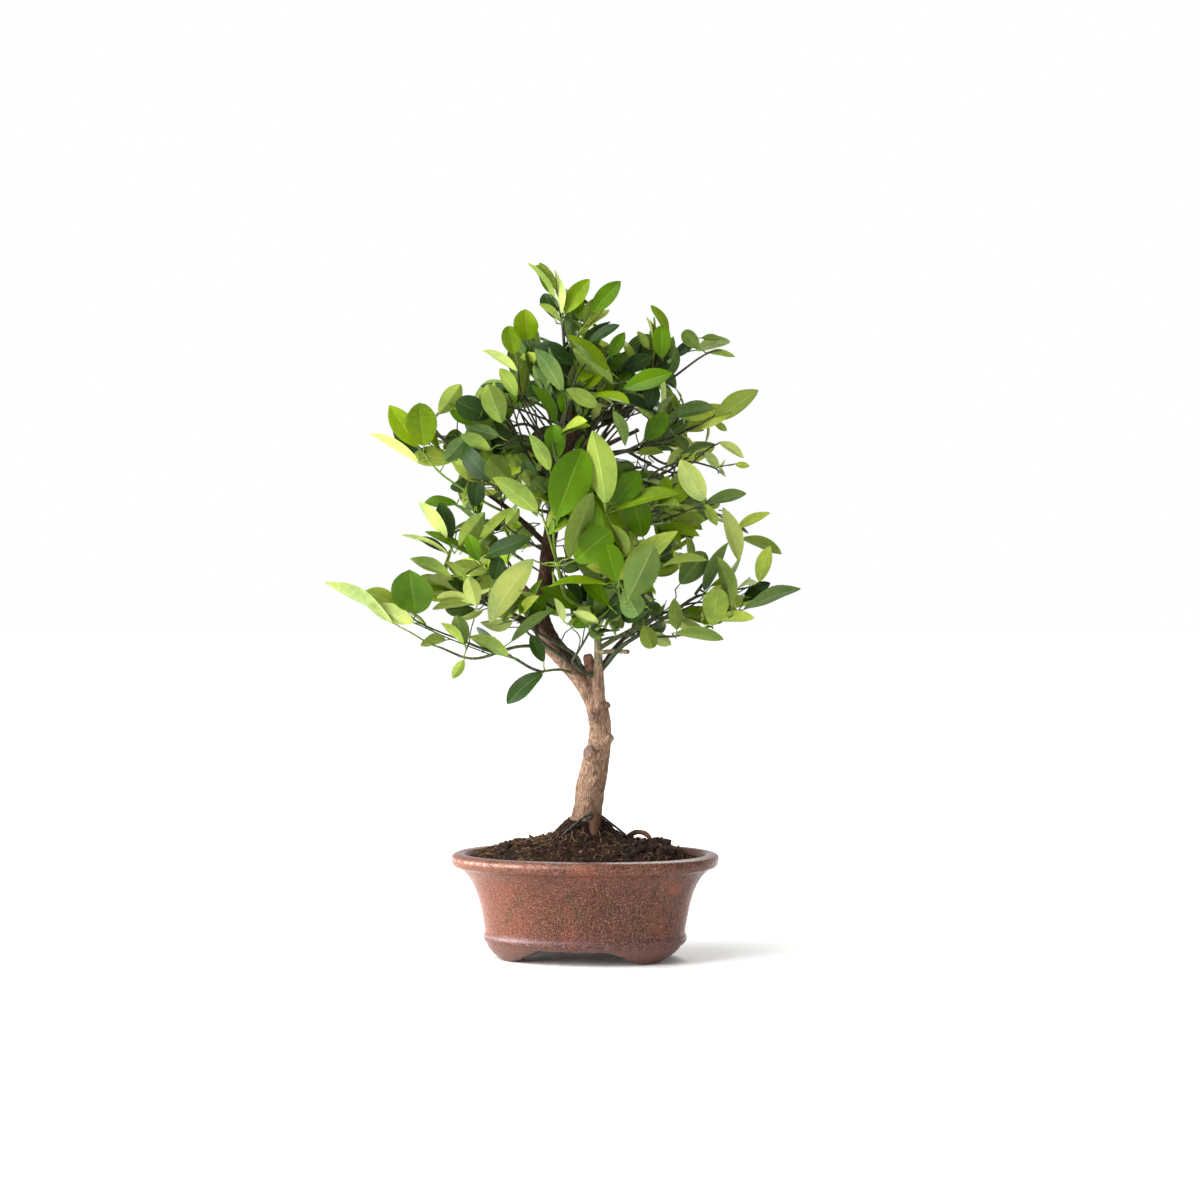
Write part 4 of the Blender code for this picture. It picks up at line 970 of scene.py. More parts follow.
def make_limbs():
    trunk = Pile()
    line, radii = limb_line(TRUNK_LINE, 13)
    points, faces, kinds = bark_tube(line, radii, 80, 0.00052, 560.0, 2.6)
    trunk.add(root_flare(points, len(line), 80), faces, kinds)
    stem = smooth_path(BOUGHS["second_stem"][2], 16)
    radii = np.interp(stem[:, 2], *zip(*STEM_RADII))
    points, faces, _ = bark_tube(stem, radii, 48, 0.00045, 580.0, 2.8)
    trunk.add(points, faces, [1] * len(faces))
    for start, end, wide, narrow, kind in STUBS:
        stub = smooth_path((start, (np.array(start) + end) / 2 + (0.0, 0.0, 0.0006), end), 6)
        radii = narrow + (wide - narrow) * (1 - np.linspace(0, 1, len(stub))) ** 1.6
        radii[-1] *= 0.82
        points, faces, _ = bark_tube(stub, radii, 30, 0.00065, 520.0, 1.6, 0.32, -0.2)
        kinds = [kind] * len(faces)
        if kind != 3:
            for i in range(len(faces) - 59, len(faces), 2):
                kinds[i] = STUB_SCAR
        trunk.add(points, faces, kinds)
    tan = (tone(58, 41, 33), tone(138, 111, 92), tone(116, 91, 74))
    red = (tone(28, 18, 14), tone(68, 47, 37), tone(48, 31, 24))
    pale = (tone(66, 58, 42), tone(134, 126, 98), tone(108, 104, 76))
    green = (tone(36, 38, 20), tone(88, 92, 54), tone(66, 74, 38))
    stub_colours = (tone(54, 36, 30), tone(122, 90, 76), tone(98, 68, 57))
    finishes = [
        bark_finish("bark", tan, red, 0.1345, 0.1415, 0.85, (0.765, 0.644)),
        bark_finish("bark_second_stem", tan, pale, 0.214, 0.250, 0.8),
        bark_finish("bark_stub", stub_colours, stub_colours, 0.2, 0.3),
        bark_finish("bark_cut", pale, pale, 0.2, 0.3, 0.7),
        bark_finish("bark_scar", (tone(50, 37, 34), tone(116, 95, 86), tone(92, 74, 68)), red, 0.2, 0.3),
    ]
    trunk.make("trunk_bark", finishes, ["trunk", "second_stem"], "bark")

    boughs = Pile()
    for name, (thick, thin, path) in BOUGHS.items():
        if name == "second_stem":
            continue
        line = smooth_path(path, 12)
        radii = thick + (thin - thick) * np.linspace(0, 1, len(line))
        points, faces, _ = bark_tube(line, radii, 20, 0.00022, 800.0, 5.0)
        old = thick > 0.0023
        boughs.add(points, faces, [int(not old)] * len(faces))
    finishes = [
        bark_finish("bark_bough", red, (tone(18, 12, 9), tone(54, 40, 28), tone(40, 34, 22)), 0.30, 0.36),
        bark_finish("bark_green", green, (tone(18, 22, 10), tone(48, 54, 26), tone(38, 40, 20)), 0.25, 0.33, 0.6),
    ]
    boughs.make("boughs_bark", finishes, [name for name in BOUGHS if name != "second_stem"], "young_bark")

    roots = Pile()
    for path, start, end in ROOTS.values():
        line = smooth_path(path, 12)
        points, faces, kinds = bark_tube(line, np.linspace(start, end, len(line)), 26, 0.0005, 620.0, 2.5, 0.30)
        roots.add(points, faces, kinds)
    root_colours = (tone(34, 20, 14), tone(98, 66, 50), tone(60, 38, 28))
    roots.make("surface_roots", [bark_finish("bark_root", root_colours, root_colours, 0.0, 0.2)],
               list(ROOTS), "bark")

    wire = Pile()
    line = smooth_path([seen_at(px, py, depth / 1000) for px, py, depth in WIRE_PATH], 7)
    wire.add(*tube(line, np.full(len(line), WIRE_RADIUS), 12))
    middle = seen_at(WIRE_EYE[0], WIRE_EYE[1], WIRE_EYE[2] / 1000)
    loop = [middle + (WIRE_EYE_RADIUS * math.sin(t), 0.0006 * math.sin(t * 0.5), -WIRE_EYE_RADIUS * math.cos(t))
            for t in np.linspace(0.2, 2 * math.pi - 0.2, 20)]
    wire.add(*tube(loop, np.full(len(loop), WIRE_RADIUS * 0.8), 10))
    wire.make("anchor_wire_bent", [plain_finish("wire", tone(30, 30, 30), tone(70, 68, 64), 0.38, 500.0, 0.6)],
              ["anchor_wire"], "wire")


# Crown: where the leaves may be

class Mass:
    """The space of one mass of leaves."""

    def __init__(self, name):
        mesh = frame["nodes"][name].data
        self.points = np.array([vert.co for vert in mesh.vertices]) - np.array(POT_MIDDLE)
        faces = [tuple(face.vertices) for face in mesh.polygons]
        self.tree = BVHTree.FromPolygons([tuple(point) for point in self.points], faces)
        self.name, self.low, self.high = name, self.points.min(0), self.points.max(0)
        self.middle = (self.low + self.high) / 2
        corners = self.points[np.array([face[:3] for face in faces])] - self.middle
        self.volume = abs(np.linalg.det(corners).sum()) / 6

    def depth_inside(self, place, reach=OUTSIDE_REACH):
        """How far inside the mass a place is, negative when it is outside."""
        if (place < self.low - reach).any() or (place > self.high + reach).any():
            return -1.0
        near, normal, _, distance = self.tree.find_nearest(Vector(place))
        inward = (near - Vector(place)).dot(normal) > 0
        return distance if inward else -distance

    def in_line(self, place):
        """Whether the mass is seen in the direction of a place."""
        return self.tree.ray_cast(Vector(EYE), Vector(place - EYE).normalized())[0] is not None

    def some_place(self, chance):
        while True:
            place = chance.uniform(self.low, self.high)
            if self.depth_inside(place) > 0.002:
                return place


class Fill:
    """A space seen in an ellipse of the picture, between two depths, that wants more leaves."""

    def __init__(self, number, px, py, half_x, half_y, near, far, sprays):
        self.name, self.sprays = f"fill_{number}", sprays
        self.seen, self.half, self.depths = (px, py), (half_x, half_y), (near / 1000, far / 1000)
        self.middle = seen_at(px, py, (near + far) / 2000)

    def holds(self, place, reach):
        px, py, depth = pixels_of(place)
        away = ((px[0] - self.seen[0]) / self.half[0]) ** 2 + ((py[0] - self.seen[1]) / self.half[1]) ** 2
        return away < reach and self.depths[0] - 0.015 < depth[0] < self.depths[1] + 0.015

    def some_place(self, chance):
        turn, out = chance.uniform(0, 2 * math.pi), math.sqrt(chance.uniform())
        px = self.seen[0] + self.half[0] * out * math.cos(turn)
        return seen_at(px, self.seen[1] + self.half[1] * out * math.sin(turn), chance.uniform(*self.depths))


def in_the_sky(places, margin=0.0):
    """Whether any of the places is seen in an opening of the crown."""
    px, py, _ = pixels_of(places)
    for x, y, half_x, half_y in SKY:
        if (((px - x) / (half_x + margin)) ** 2 + ((py - y) / (half_y + margin)) ** 2 < 1).any():
            return True
    return False


# Crown: how the twigs grow

class Growth:
    """Twigs that grow step by step from the limbs towards places that want leaves."""

    def __init__(self):
        self.places, self.parents, self.radii, self.kinds, self.limbs = [], [], [], [], []

    def add(self, place, parent, radius=None, kind=None):
        self.places.append(np.asarray(place, float))
        self.parents.append(parent)
        self.radii.append(radius)
        self.kinds.append(kind)
        return len(self.places) - 1

    def nearest(self, place):
        return int(np.linalg.norm(np.array(self.places) - place, axis=1).argmin())

    def add_limb(self, line, skip):
        self.limbs.append(line)
        for place in line[int(len(line) * skip):]:
            self.add(place, -1)

    def add_shoot(self, points, thick, thin, kind):
        """A shoot through places seen at given pixels, from the limb seen nearest to the first of them."""
        limbs = np.concatenate(self.limbs)
        px, py, _ = pixels_of(limbs)
        root = limbs[np.hypot(px - points[0][0], py - points[0][1]).argmin()]
        line = smooth_path([root] + [seen_at(x, y, depth / 1000) for x, y, depth in points[1:]], 3)
        radii = np.linspace(thick, thin, len(line)) / 1000
        last = self.add(line[0], -1)
        for place, radius in zip(line[1:], radii[1:]):
            last = self.add(place, last, radius, kind)
        self.limbs.append(line)

    def add_fan(self, chance):
        """Straight shoots that spread upward from the top of the trunk."""
        high = self.limbs[0][self.limbs[0][:, 2] > FAN_START_HEIGHT]
        for _ in range(FAN_SHOOTS):
            root = high[chance.integers(len(high))]
            px, py, depth = chance.uniform(*FAN_END)
            end = seen_at(px, py, depth / 1000)
            length = np.linalg.norm(end - root)
            middle = (root + end) / 2 + chance.normal(size=3) * length * 0.03
            line = smooth_path((root, middle, end), max(2, int(length / GROW_STEP / 2)))
            last = self.add(line[0], -1)
            for place, radius in zip(line[1:], np.linspace(*FAN_RADII, len(line))[1:]):
                last = self.add(place, last, radius, "old")

    def add_leader(self, goal, chance):
        """A nearly straight shoot to a place from a limb below and inside it."""
        inside = goal + (np.array((CROWN_MIDDLE[0], CROWN_MIDDLE[1] * 0.3, goal[2])) - goal) * 0.4
        start = self.nearest(inside - (0.0, 0.0, 0.016))
        root = self.places[start]
        length = np.linalg.norm(goal - root)
        if length < 2 * GROW_STEP:
            return
        middle = (root + goal) / 2 + chance.normal(size=3) * length * 0.035 - (0.0, 0.0, length * 0.05)
        line = smooth_path((root, middle, goal), max(2, int(length / GROW_STEP / 2)))
        last = start
        for place in line[1:]:
            last = self.add(place, last)

    def grow(self, goals, chance):
        """Grows towards the goals, and returns for each the twig point that came nearest."""
        goals = np.array(goals)
        nearest = np.full(len(goals), -1)
        distance = np.full(len(goals), np.inf)
        active = np.ones(len(goals), bool)
        fresh = list(range(len(self.places)))
        shoots = {}
        for _ in range(GROW_TURNS):
            places = np.array([self.places[i] for i in fresh])
            apart = np.linalg.norm(goals[:, None] - places[None], axis=2)
            best = apart.argmin(axis=1)
            closer = apart[np.arange(len(goals)), best] < distance
            nearest[closer & active] = np.array(fresh)[best[closer & active]]
            distance[closer & active] = apart[np.arange(len(goals)), best][closer & active]
            active &= distance > REACHED
            if not active.any():
                break
            fresh = []
            for i in np.unique(nearest[active]):
                if shoots.get(int(i), 0) > 1:
                    continue
                ahead = goals[active & (nearest == i)] - self.places[i]
                way = unit((ahead / np.linalg.norm(ahead, axis=1)[:, None]).sum(axis=0))
                if self.parents[i] >= 0:
                    way = unit(way + unit(self.places[i] - self.places[self.parents[i]]) * 0.45)
                way = unit(way + chance.normal(size=3) * 0.07 + (0.0, 0.0, 0.04))
                shoots[int(i)] = shoots.get(int(i), 0) + 1
                fresh.append(self.add(self.places[i] + way * GROW_STEP, int(i)))
            if not fresh:
                break
        return nearest

    def chains(self, wanted):
        """Runs of twig points from a limb outwards, with a radius at each, for twigs that carry leaves."""
        tips = np.zeros(len(self.places))
        for i in wanted:
            tips[i] += 1
        for i, radius in enumerate(self.radii):
            if radius is not None:
                tips[i] += 0.01
        for i in range(len(self.places) - 1, -1, -1):
            if self.parents[i] >= 0:
                tips[self.parents[i]] += tips[i]
        children = {}
        for i, parent in enumerate(self.parents):
            if parent >= 0 and tips[i] > 0:
                children.setdefault(parent, []).append(i)
        self.children = children
        started, runs = set(), []
        for i in range(len(self.places)):
            parent = self.parents[i]
            if parent < 0 or tips[i] <= 0 or i in started:
                continue
            run = [parent, i]
            started.add(i)
            while children.get(run[-1]):
                following = max(children[run[-1]], key=lambda k: tips[k])
                if following in started:
                    break
                started.add(following)
                run.append(following)
            radii = []
            for k in run[1:]:
                grown = TWIG_THIN * max(tips[k], 1.0) ** TWIG_POWER
                radii.append(max(grown, self.radii[k] or 0.0))
            radii = np.maximum.accumulate(np.array([radii[0]] + radii)[::-1])[::-1]
            runs.append((np.array([self.places[k] for k in run]), np.minimum(radii, TWIG_THICK), run))
        return runs


def eased(line):
    """The line with its corners softened, its ends kept."""
    for _ in range(3):
        softer = line.copy()
        if len(line) > 2:
            softer[1:-1] = 0.25 * line[:-2] + 0.5 * line[1:-1] + 0.25 * line[2:]
        line = softer
    return line


# Crown: leaves

def leaf_shape(length, width, fold, bend, twist, wave, phase, blunt):
    """Points, faces and kinds of one closed leaf, from its base at the origin along +Y, upper side to +Z.

    Kinds are 0 for the upper side, 1 for the under side, 2 for the midrib above and 3 for the midrib below.
    """
    even = np.linspace(0, 1, LEAF_ROWS + 2)
    shares = 0.45 * even + 0.55 * (0.5 - 0.5 * np.cos(math.pi * even))
    slender = min(1.0, max(0.0, (0.66 - width / length) / 0.26))
    power = 0.50 + 0.24 * slender + (0.04 + 0.18 * slender) * shares ** 2
    half = width / 2 * np.sin(math.pi * shares ** (blunt + 0.25 * (1 - slender))) ** power
    half[-1] = 0.0
    angles = bend * (shares ** 1.2 - 0.45)
    steps = np.diff(shares) * length
    along = np.concatenate([[0], np.cumsum(np.cos(angles[:-1]) * steps)])
    rise = np.concatenate([[0], np.cumsum(-np.sin(angles[:-1]) * steps)])
    rows_up, rows_down = [], []
    for i in range(1, LEAF_ROWS + 1):
        share, up, down = shares[i], [], []
        for across in LEAF_ACROSS:
            flat = across * half[i]
            lift = abs(flat) * math.sin(fold) * (1 - 0.45 * abs(across))
            lift += wave * width * across ** 2 * math.sin(9.0 * share + phase + (1.4 if across > 0 else 0.0))
            lift -= 0.00012 * (abs(across) < 0.1)
            side = flat * math.cos(fold * 0.7)
            roll = twist * (share - 0.3)
            side, lift = side * math.cos(roll) - lift * math.sin(roll), side * math.sin(roll) + lift * math.cos(roll)
            thick = LEAF_THICKNESS * (1 - across ** 2) + 0.00035 * (abs(across) < 0.1)
            for row, height in ((up, lift), (down, lift - thick)):
                row.append((side, along[i] + height * math.sin(angles[i]), rise[i] + height * math.cos(angles[i])))
        rows_up.append(up)
        rows_down.append(down[1:-1])
    wide, narrow = len(LEAF_ACROSS), len(LEAF_ACROSS) - 2
    block = wide + narrow
    points = [point for up, down in zip(rows_up, rows_down) for point in up + down]
    base, tip = len(points), len(points) + 1
    points += [(0.0, 0.0, 0.0), (0.0, along[-1], rise[-1])]

    def upper(i, k):
        return i * block + k

    def under(i, k):
        return upper(i, k) if k in (0, wide - 1) else i * block + wide + k - 1

    faces, kinds = [], []
    for k in range(wide - 1):
        rib = k == (wide - 1) // 2
        for i in range(LEAF_ROWS - 1):
            faces.append((upper(i, k), upper(i, k + 1), upper(i + 1, k + 1), upper(i + 1, k)))
            kinds.append(2 if rib else 0)
            faces.append((under(i, k), under(i + 1, k), under(i + 1, k + 1), under(i, k + 1)))
            kinds.append(3 if rib else 1)
        last = LEAF_ROWS - 1
        faces += [(base, upper(0, k + 1), upper(0, k)), (base, under(0, k), under(0, k + 1)),
                  (tip, upper(last, k), upper(last, k + 1)), (tip, under(last, k + 1), under(last, k))]
        kinds += [2 if rib else 0, 3 if rib else 1] * 2
    return np.array(points), faces, kinds


class Crown:
    """All the leaves and their stalks, gathered by tint."""

    def __init__(self, growth, masses, chance):
        self.growth, self.masses, self.chance = growth, masses, chance
        self.leaves = {tint: Pile() for tint in TINTS}
        self.stalks = Pile()
        self.middles = []
        self.shown = []
        self.taken = set()

    def add_leaf(self, joint, base, way, length, width, facing, tint, bend, fold, twist):
        """One leaf with its stalk from a twig point, its blade along way and its upper side to facing."""
        chance = self.chance
        way = unit(way)
        side = unit(np.cross(way, facing))
        top = np.cross(side, way)
        points, faces, kinds = leaf_shape(length, width, fold, bend, twist, chance.uniform(0.0, 0.035),
                                          chance.uniform(0, 6), chance.uniform(0.88, 1.04))
        placed = points @ np.stack([side, way, top])
        self.leaves[tint].add(placed + base, faces, kinds)
        self.middles.append(base + way * length * 0.5)
        gap = np.linalg.norm(base - joint)
        if gap > 0.0004:
            bow = unit(base - joint) * 0.6 + way * 0.4
            line = smooth_path((joint, joint + bow * gap * 0.5 + top * 0.0003, base, base + way * 0.0012), 2)
            self.stalks.add(*tube(line, np.linspace(0.00062, 0.00042, len(line)), 5))

    def add_named(self, joint, base_px, base_py, tip_px, tip_py, width_px, depth, tint, shows):
        """A leaf whose base, tip and width are seen at pixels of the photograph."""
        chance = self.chance
        scale = (VIEW_DISTANCE + depth / 1000) / FOCAL_PIXELS
        base, tip = seen_at(base_px, base_py, depth / 1000), seen_at(tip_px, tip_py, depth / 1000)
        seen, broad = np.linalg.norm(tip - base), width_px * scale
        toward = -np.array(VIEW_AHEAD)
        length = max(seen, min(broad / 0.68, seen + 0.022))
        tip = tip + toward * math.sqrt(max(0.0, length ** 2 - seen ** 2)) * 0.9
        way = unit(tip - base)
        width = max(broad, length * chance.uniform(0.44, 0.50))
        turn = math.acos(min(1.0, broad / width))
        flat = unit(np.cross(way, np.cross(toward, way)))
        lean = unit(np.cross(way, flat))
        if (lean[2] > 0) != (shows > 0):
            lean = -lean
        facing = flat * math.cos(turn) * shows + lean * math.sin(turn) * shows
        near = self.growth.places[joint]
        if np.linalg.norm(near - base) > 0.013:
            near = base - way * 0.008
        self.add_leaf(near, base, way, length, width, facing, tint, chance.uniform(0.2, 0.60),
                      chance.uniform(0.16, 0.44), chance.uniform(-0.3, 0.3))
        self.shown.append((base, base + way * length, width, depth / 1000))

    def beside_named(self, x, y):
        """For a pixel, how far along each listed leaf it is and how far outside the leaf's edge."""
        ax, ay, bx, by, half, _ = self.named_pixels
        span = (bx - ax) ** 2 + (by - ay) ** 2
        share = np.clip(((x - ax) * (bx - ax) + (y - ay) * (by - ay)) / span, 0, 1)
        return share, np.hypot(x - ax - share * (bx - ax), y - ay - share * (by - ay)) - half

    def hides_named(self, base, tip):
        """Whether a leaf would stand in front of one of the listed leaves."""
        far = self.named_pixels[-1]
        for x, y, depth in zip(*pixels_of([base, (base + tip) / 2, tip])):
            _, outside = self.beside_named(x, y)
            if ((outside < 3) & (depth < far + 0.004)).any():
                return True
        return False

    def clear_named(self, first, held):
        """Moves twig points from the first on that stand in or close before a listed leaf behind it."""
        growth, far = self.growth, self.named_pixels[-1]
        for i, (x, y, depth) in enumerate(zip(*pixels_of(growth.places))):
            if i < first or i in held or growth.parents[i] < 0:
                continue
            share, outside = self.beside_named(x, y)
            crossed = (outside < 2) & (share > 0.1) & (depth < far + TWIG_BEHIND) & (depth > far - TWIG_BEFORE)
            if crossed.any():
                back = (VIEW_DISTANCE + far[crossed].max() + TWIG_BEHIND) / (VIEW_DISTANCE + depth)
                growth.places[i] = EYE + (growth.places[i] - EYE) * back

    def note_named(self):
        ax, ay, far = pixels_of([row[0] for row in self.shown])
        bx, by, _ = pixels_of([row[1] for row in self.shown])
        half = np.array([row[2] for row in self.shown]) / 2 / (VIEW_DISTANCE + far) * FOCAL_PIXELS
        self.named_pixels = (ax, ay, bx, by, half, far)

    def room_for(self, place):
        """How deep inside the nearest mass a place is, or how far outside all of them."""
        return max(mass.depth_inside(place) for mass in self.masses)

    def inner_room(self, place):
        """Whether a place is among the masses and hidden by one from the front."""
        away = (place - CROWN_MIDDLE) / CROWN_HALF
        if away @ away > 1.0:
            return False
        if max(mass.depth_inside(place, INNER_REACH) for mass in self.masses) < -INNER_REACH:
            return False
        return any(mass.in_line(place) for mass in self.masses)

    def fits(self, base, tip, owner):
        middle = (base + tip) / 2
        if owner is None:
            if not (self.inner_room(tip) and self.inner_room(middle)):
                return False
        elif isinstance(owner, Fill):
            if not (owner.holds(middle, 1.2) and owner.holds(tip, 2.2)):
                return False
        elif self.room_for(tip) < -OUTSIDE_REACH * 0.8 or self.room_for(middle) < -0.001:
            return False
        return not (in_the_sky([base * 0.3 + tip * 0.7, middle], 6.0) or in_the_sky([base, tip], 2.0)
                    or self.hides_named(base, tip))

    def add_grown(self, joint, goal, mass, tint, sideways=0.0):
        """A leaf from a twig towards the outside of its mass, tried in several directions."""
        chance = self.chance
        start = self.growth.places[joint]
        parent = self.growth.parents[joint]
        forward = unit(start - self.growth.places[parent]) if parent >= 0 else unit(goal - start)
        middle = mass.middle if mass else np.array(CROWN_MIDDLE)
        outward = unit((goal - middle) * (1.0, 1.0, 0.8) + (middle - CROWN_MIDDLE) * 0.4)
        side = unit(np.cross(forward, chance.normal(size=3)))
        aim = forward * 0.55 + outward * 0.6 + side * sideways + (0.0, 0.0, 0.10)
        best, best_score = None, -9.0
        length = chance.uniform(*LEAF_LENGTH) * (1.0 + 0.10 * chance.normal())
        length = min(max(length, 0.021), 0.050)
        for attempt in range(LEAF_TRIES):
            shrink = 1.0 if attempt < LEAF_TRIES * 0.7 else 0.78
            way = unit(aim + chance.normal(size=3) * 0.55)
            base = start + way * chance.uniform(0.004, 0.008)
            tip = base + way * length * shrink
            if not self.fits(base, tip, mass):
                continue
            near = np.linalg.norm(np.array(self.middles) - (base + tip) / 2, axis=1)
            crowd = (near < 0.008).sum() * 0.6 + (near < 0.014).sum() * 0.12
            score = way @ outward + 0.4 * (way @ forward) - crowd
            if score > best_score:
                best, best_score = (way, base, length * shrink), score
        if best is None:
            return False
        way, base, length = best
        facing = np.array((0.0, 0.0, 0.75)) + outward * 0.75 + chance.normal(size=3) * 0.6
        width = length * chance.uniform(*LEAF_WIDTH)
        self.add_leaf(start, base, way, length, width, facing, tint, chance.uniform(0.2, 0.95),
                      chance.uniform(0.20, 0.72), chance.uniform(-0.4, 0.4))
        return True

    def add_spray(self, joint, goal, mass, tint):
        """Leaves at the end of a twig and back along it. Returns whether any of them found room."""
        placed, back = False, joint
        for number in range(LEAVES_ON_TWIG):
            if back < 0 or self.growth.parents[back] < 0:
                break
            if back not in self.taken:
                own = tint if self.chance.uniform() < SAME_TINT else deal_tint(self.chance, goal)
                if self.add_grown(back, goal, mass, own, 0.9 * (number > 0)):
                    self.taken.add(back)
                    placed = True
            for _ in range(POINTS_APART):
                back = self.growth.parents[back] if back >= 0 else back
        return placed

    def make(self, mass_names):
        for tint, (upper, under) in TINTS.items():
            finishes = [
                leaf_finish(f"leaf_{tint}_upper", tone(*upper), 0.36, 0.10),
                leaf_finish(f"leaf_{tint}_under", tone(*under), 0.62, 0.05),
                leaf_finish(f"leaf_{tint}_rib", tone(*[a * 0.45 + b * 0.55 for a, b in zip(upper, under)]), 0.5, 0.1),
                leaf_finish(f"leaf_{tint}_rib_under", tone(*[value * 0.85 + 34 for value in under]), 0.6, 0.05),
            ]
            self.leaves[tint].make(f"leaves_{tint}", finishes, mass_names, "leaves", math.radians(70.0))
        stalk = plain_finish("stalk", tone(70, 92, 22), tone(106, 128, 48), 0.5)
        self.stalks.make("leaf_stalks", [stalk], mass_names, "leaves")


def deal_tint(chance, place):
    """A tint for a leaf: young growth outside and to the left is fresher and paler, the inside darker."""
    out = min(1.0, np.hypot(place[0] + 0.01, place[1]) / 0.13)
    weights = dict(TINT_SHARES)
    left = min(1.0, max(0.0, (-place[0] - 0.03) / 0.06))
    weights["dark"] *= (1.75 - 1.2 * out) * (1.0 - 0.4 * left)
    weights["fresh"] *= 0.35 + 1.45 * out
    right = min(1.0, max(0.0, (place[0] - 0.04) / 0.05))
    weights["pale"] *= (0.15 + 1.75 * out) * (1.0 + 1.2 * left + 0.8 * right)
    names = list(weights)
    shares = np.array([weights[name] for name in names])
    return names[int(chance.choice(len(names), p=shares / shares.sum()))]


def make_crown(chance):
    mass_names = [name for name in frame["nodes"]
                  if name not in BOUGHS and name not in ROOTS and name not in ("pot", "soil", "trunk", "anchor_wire")]
    masses = [Mass(name) for name in sorted(mass_names)]
    growth = Growth()
    trunk_line, _ = limb_line(TRUNK_LINE, 6)
    growth.add_limb(trunk_line, 0.66)
    for name, (_, _, path) in BOUGHS.items():
        growth.add_limb(smooth_path(path, 5), 0.45 if name != "second_stem" else 0.5)
    limb_count = len(growth.places)
    for points, thick, thin, kind in SHOOTS.values():
        growth.add_shoot(points, thick, thin, kind)
    first_free = len(growth.places)
    growth.add_fan(chance)
    for mass in masses:
        for _ in range(min(MOST_LEADERS, 1 + int(mass.volume / LEADER_VOLUME))):
            growth.add_leader(mass.middle + (mass.some_place(chance) - mass.middle) * 0.75, chance)

    goals, owners = [], []
    for row in NAMED_LEAVES:
        base, tip = seen_at(row[0], row[1], row[5] / 1000), seen_at(row[2], row[3], row[5] / 1000)
        goals.append(base - unit(tip - base) * 0.006)
        owners.append("named")
    for mass in masses:
        count = max(LEAST_SPRAYS, int(round(mass.volume / SPRAY_VOLUME * THINNED.get(mass.name, 1.0))))
        places = [mass.some_place(chance) for _ in range(count * 3)]
        places = [place for place in places if not in_the_sky([place], 2.0)][:count]
        goals += places
        owners += [mass] * len(places)
    for number, row in enumerate(FILLS):
        fill = Fill(number, *row)
        places = [fill.some_place(chance) for _ in range(fill.sprays * 2)]
        places = [place for place in places if not in_the_sky([place], 2.0)][:fill.sprays]
        goals += places
        owners += [fill] * len(places)
    crown = Crown(growth, masses, chance)
    inner = 0
    while inner < INNER_SPRAYS:
        place = np.array(CROWN_MIDDLE) + chance.uniform(-1, 1, size=3) * CROWN_HALF
        if crown.room_for(place) > 0 or not crown.inner_room(place) or in_the_sky([place], 2.0):
            continue
        goals.append(place)
        owners.append(None)
        inner += 1
    joints = growth.grow(goals, chance)

    for joint, row in zip(joints, NAMED_LEAVES):
        crown.add_named(int(joint), *row)
    crown.note_named()
    kept = list(joints[:len(NAMED_LEAVES)])
    crown.clear_named(first_free, {int(joint) for joint in kept})
    tints = {}
    for joint, goal, mass in zip(joints, goals, owners):
        if mass == "named":
            continue
        spray = (mass.name if mass else "inner", tuple(np.round(goal / 0.030).astype(int)))
        if spray not in tints:
            tints[spray] = deal_tint(chance, goal)
        if crown.add_spray(int(joint), goal, mass, tints[spray]):
            kept.append(joint)

    twigs = {kind: Pile() for kind in SHOOT_KINDS}
    for line, radii, run in growth.chains([int(joint) for joint in kept]):
        points, faces, kinds = tube(eased(line), radii, 7)
        named = [growth.kinds[k] for k in run if growth.kinds[k]]
        kind = named[0] if named else ("old" if radii.max() > 0.00088 else "green")
        twigs[kind].add(points, faces, kinds)
    finishes = {
        "fresh": plain_finish("twig_fresh", tone(84, 106, 28), tone(112, 134, 46), 0.55),
        "green": plain_finish("twig_green", tone(38, 46, 30), tone(60, 70, 42), 0.6),
        "old": plain_finish("twig_old", tone(32, 32, 18), tone(62, 58, 36), 0.7),
    }
    for kind, pile in twigs.items():
        pile.make(f"twigs_{kind}", [finishes[kind]], mass_names, "young_bark")
    crown.make(mass_names)
    print("leaves", len(crown.middles), "twig points", len(growth.places) - limb_count)


# Studio: the world is white up to the first height above the horizon and dimmer from the second one up

WORLD_DIMMING = (0.245, 0.46, 1.0, 0.38)


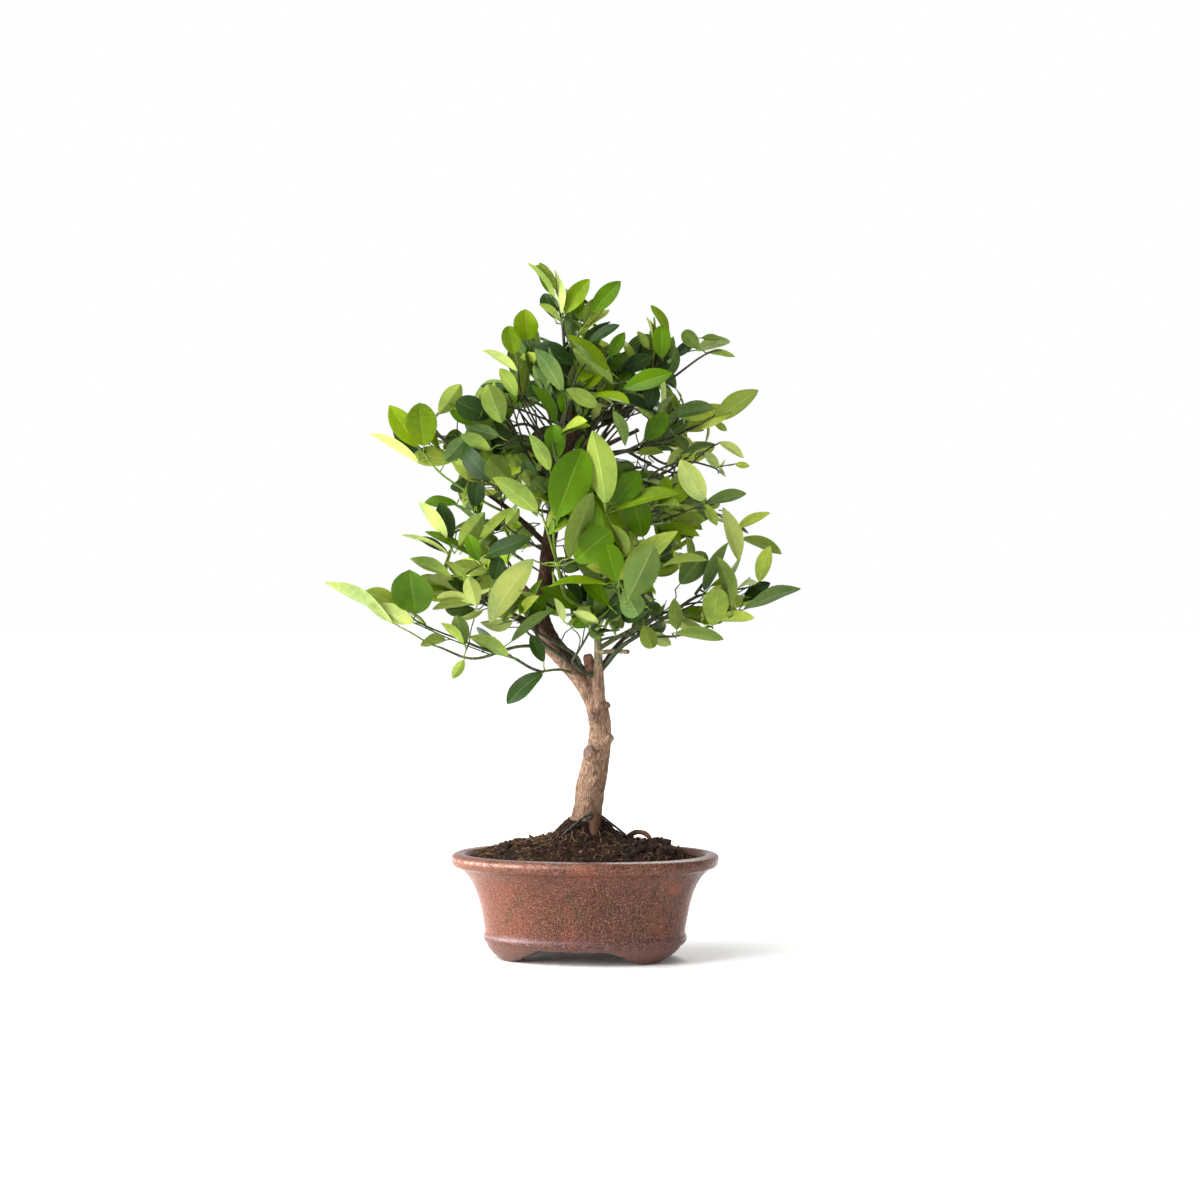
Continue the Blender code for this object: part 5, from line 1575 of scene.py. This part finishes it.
def make_studio():
    scene = bpy.context.scene
    scene.view_settings.view_transform = "Standard"
    world = bpy.data.worlds.new("studio")
    world.use_nodes = True
    scene.world = world
    nodes, links = world.node_tree.nodes, world.node_tree.links
    nodes["Background"].inputs["Color"].default_value = (1.0, 1.0, 1.0, 1.0)
    direction, parts, dimmed = (nodes.new(f"ShaderNode{kind}") for kind in ("TexCoord", "SeparateXYZ", "MapRange"))
    links.new(direction.outputs["Generated"], parts.inputs[0])
    links.new(parts.outputs["Z"], dimmed.inputs["Value"])
    links.new(dimmed.outputs[0], nodes["Background"].inputs["Strength"])
    dimmed.interpolation_type = "SMOOTHSTEP"
    for socket, value in zip(("From Min", "From Max", "To Min", "To Max"), WORLD_DIMMING):
        dimmed.inputs[socket].default_value = value

    sheet = bmesh.new()
    bmesh.ops.create_circle(sheet, cap_ends=True, segments=96, radius=25.0)
    mesh = bpy.data.meshes.new("floor")
    sheet.to_mesh(mesh)
    sheet.free()
    floor = bpy.data.objects.new("floor", mesh)
    scene.collection.objects.link(floor)
    paint = bpy.data.materials.new("floor")
    paint.use_nodes = True
    paint.node_tree.nodes["Principled BSDF"].inputs["Base Color"].default_value = (0.97, 0.97, 0.96, 1.0)
    paint.node_tree.nodes["Principled BSDF"].inputs["Roughness"].default_value = 0.9
    paint.node_tree.nodes["Principled BSDF"].inputs["Specular IOR Level"].default_value = 0.1
    mesh.materials.append(paint)

    for name, place, aim, size, energy in (
        ("key", (-2.3, -0.90, 0.55), (0.0, 0.0, 0.22), 2.2, 178.0),
        ("back", (0.2, 1.7, 1.7), (0.0, 0.0, 0.35), 1.2, 30.0),
    ):
        light = bpy.data.lights.new(name, "AREA")
        light.size = size
        light.energy = energy
        lamp = bpy.data.objects.new(name, light)
        lamp.location = place
        lamp.rotation_euler = (Vector(aim) - Vector(place)).to_track_quat("-Z", "Y").to_euler()
        scene.collection.objects.link(lamp)

    light = bpy.data.lights.new("sky", "SUN")
    light.energy = 2.65
    light.angle = math.radians(40.0)
    lamp = bpy.data.objects.new("sky", light)
    lamp.rotation_euler = (math.radians(20.0), math.radians(-22.0), 0.0)
    scene.collection.objects.link(lamp)

    camera = bpy.data.cameras.new("camera")
    camera.sensor_width = SENSOR_WIDTH
    camera.lens = FOCAL_PIXELS / IMAGE_SIZE * SENSOR_WIDTH
    camera.clip_end = 100.0
    eye = bpy.data.objects.new("camera", camera)
    eye.location = POT_MIDDLE + VIEW_RIGHT * VIEW_ASIDE - VIEW_AHEAD * VIEW_DISTANCE + Vector((0, 0, VIEW_HEIGHT))
    eye.rotation_euler = (math.pi / 2, 0.0, VIEW_TURN)
    scene.collection.objects.link(eye)
    scene.camera = eye


make_studio()
make_pot()
make_soil(np.random.default_rng(SEED))
make_limbs()
make_crown(np.random.default_rng(SEED + 1))
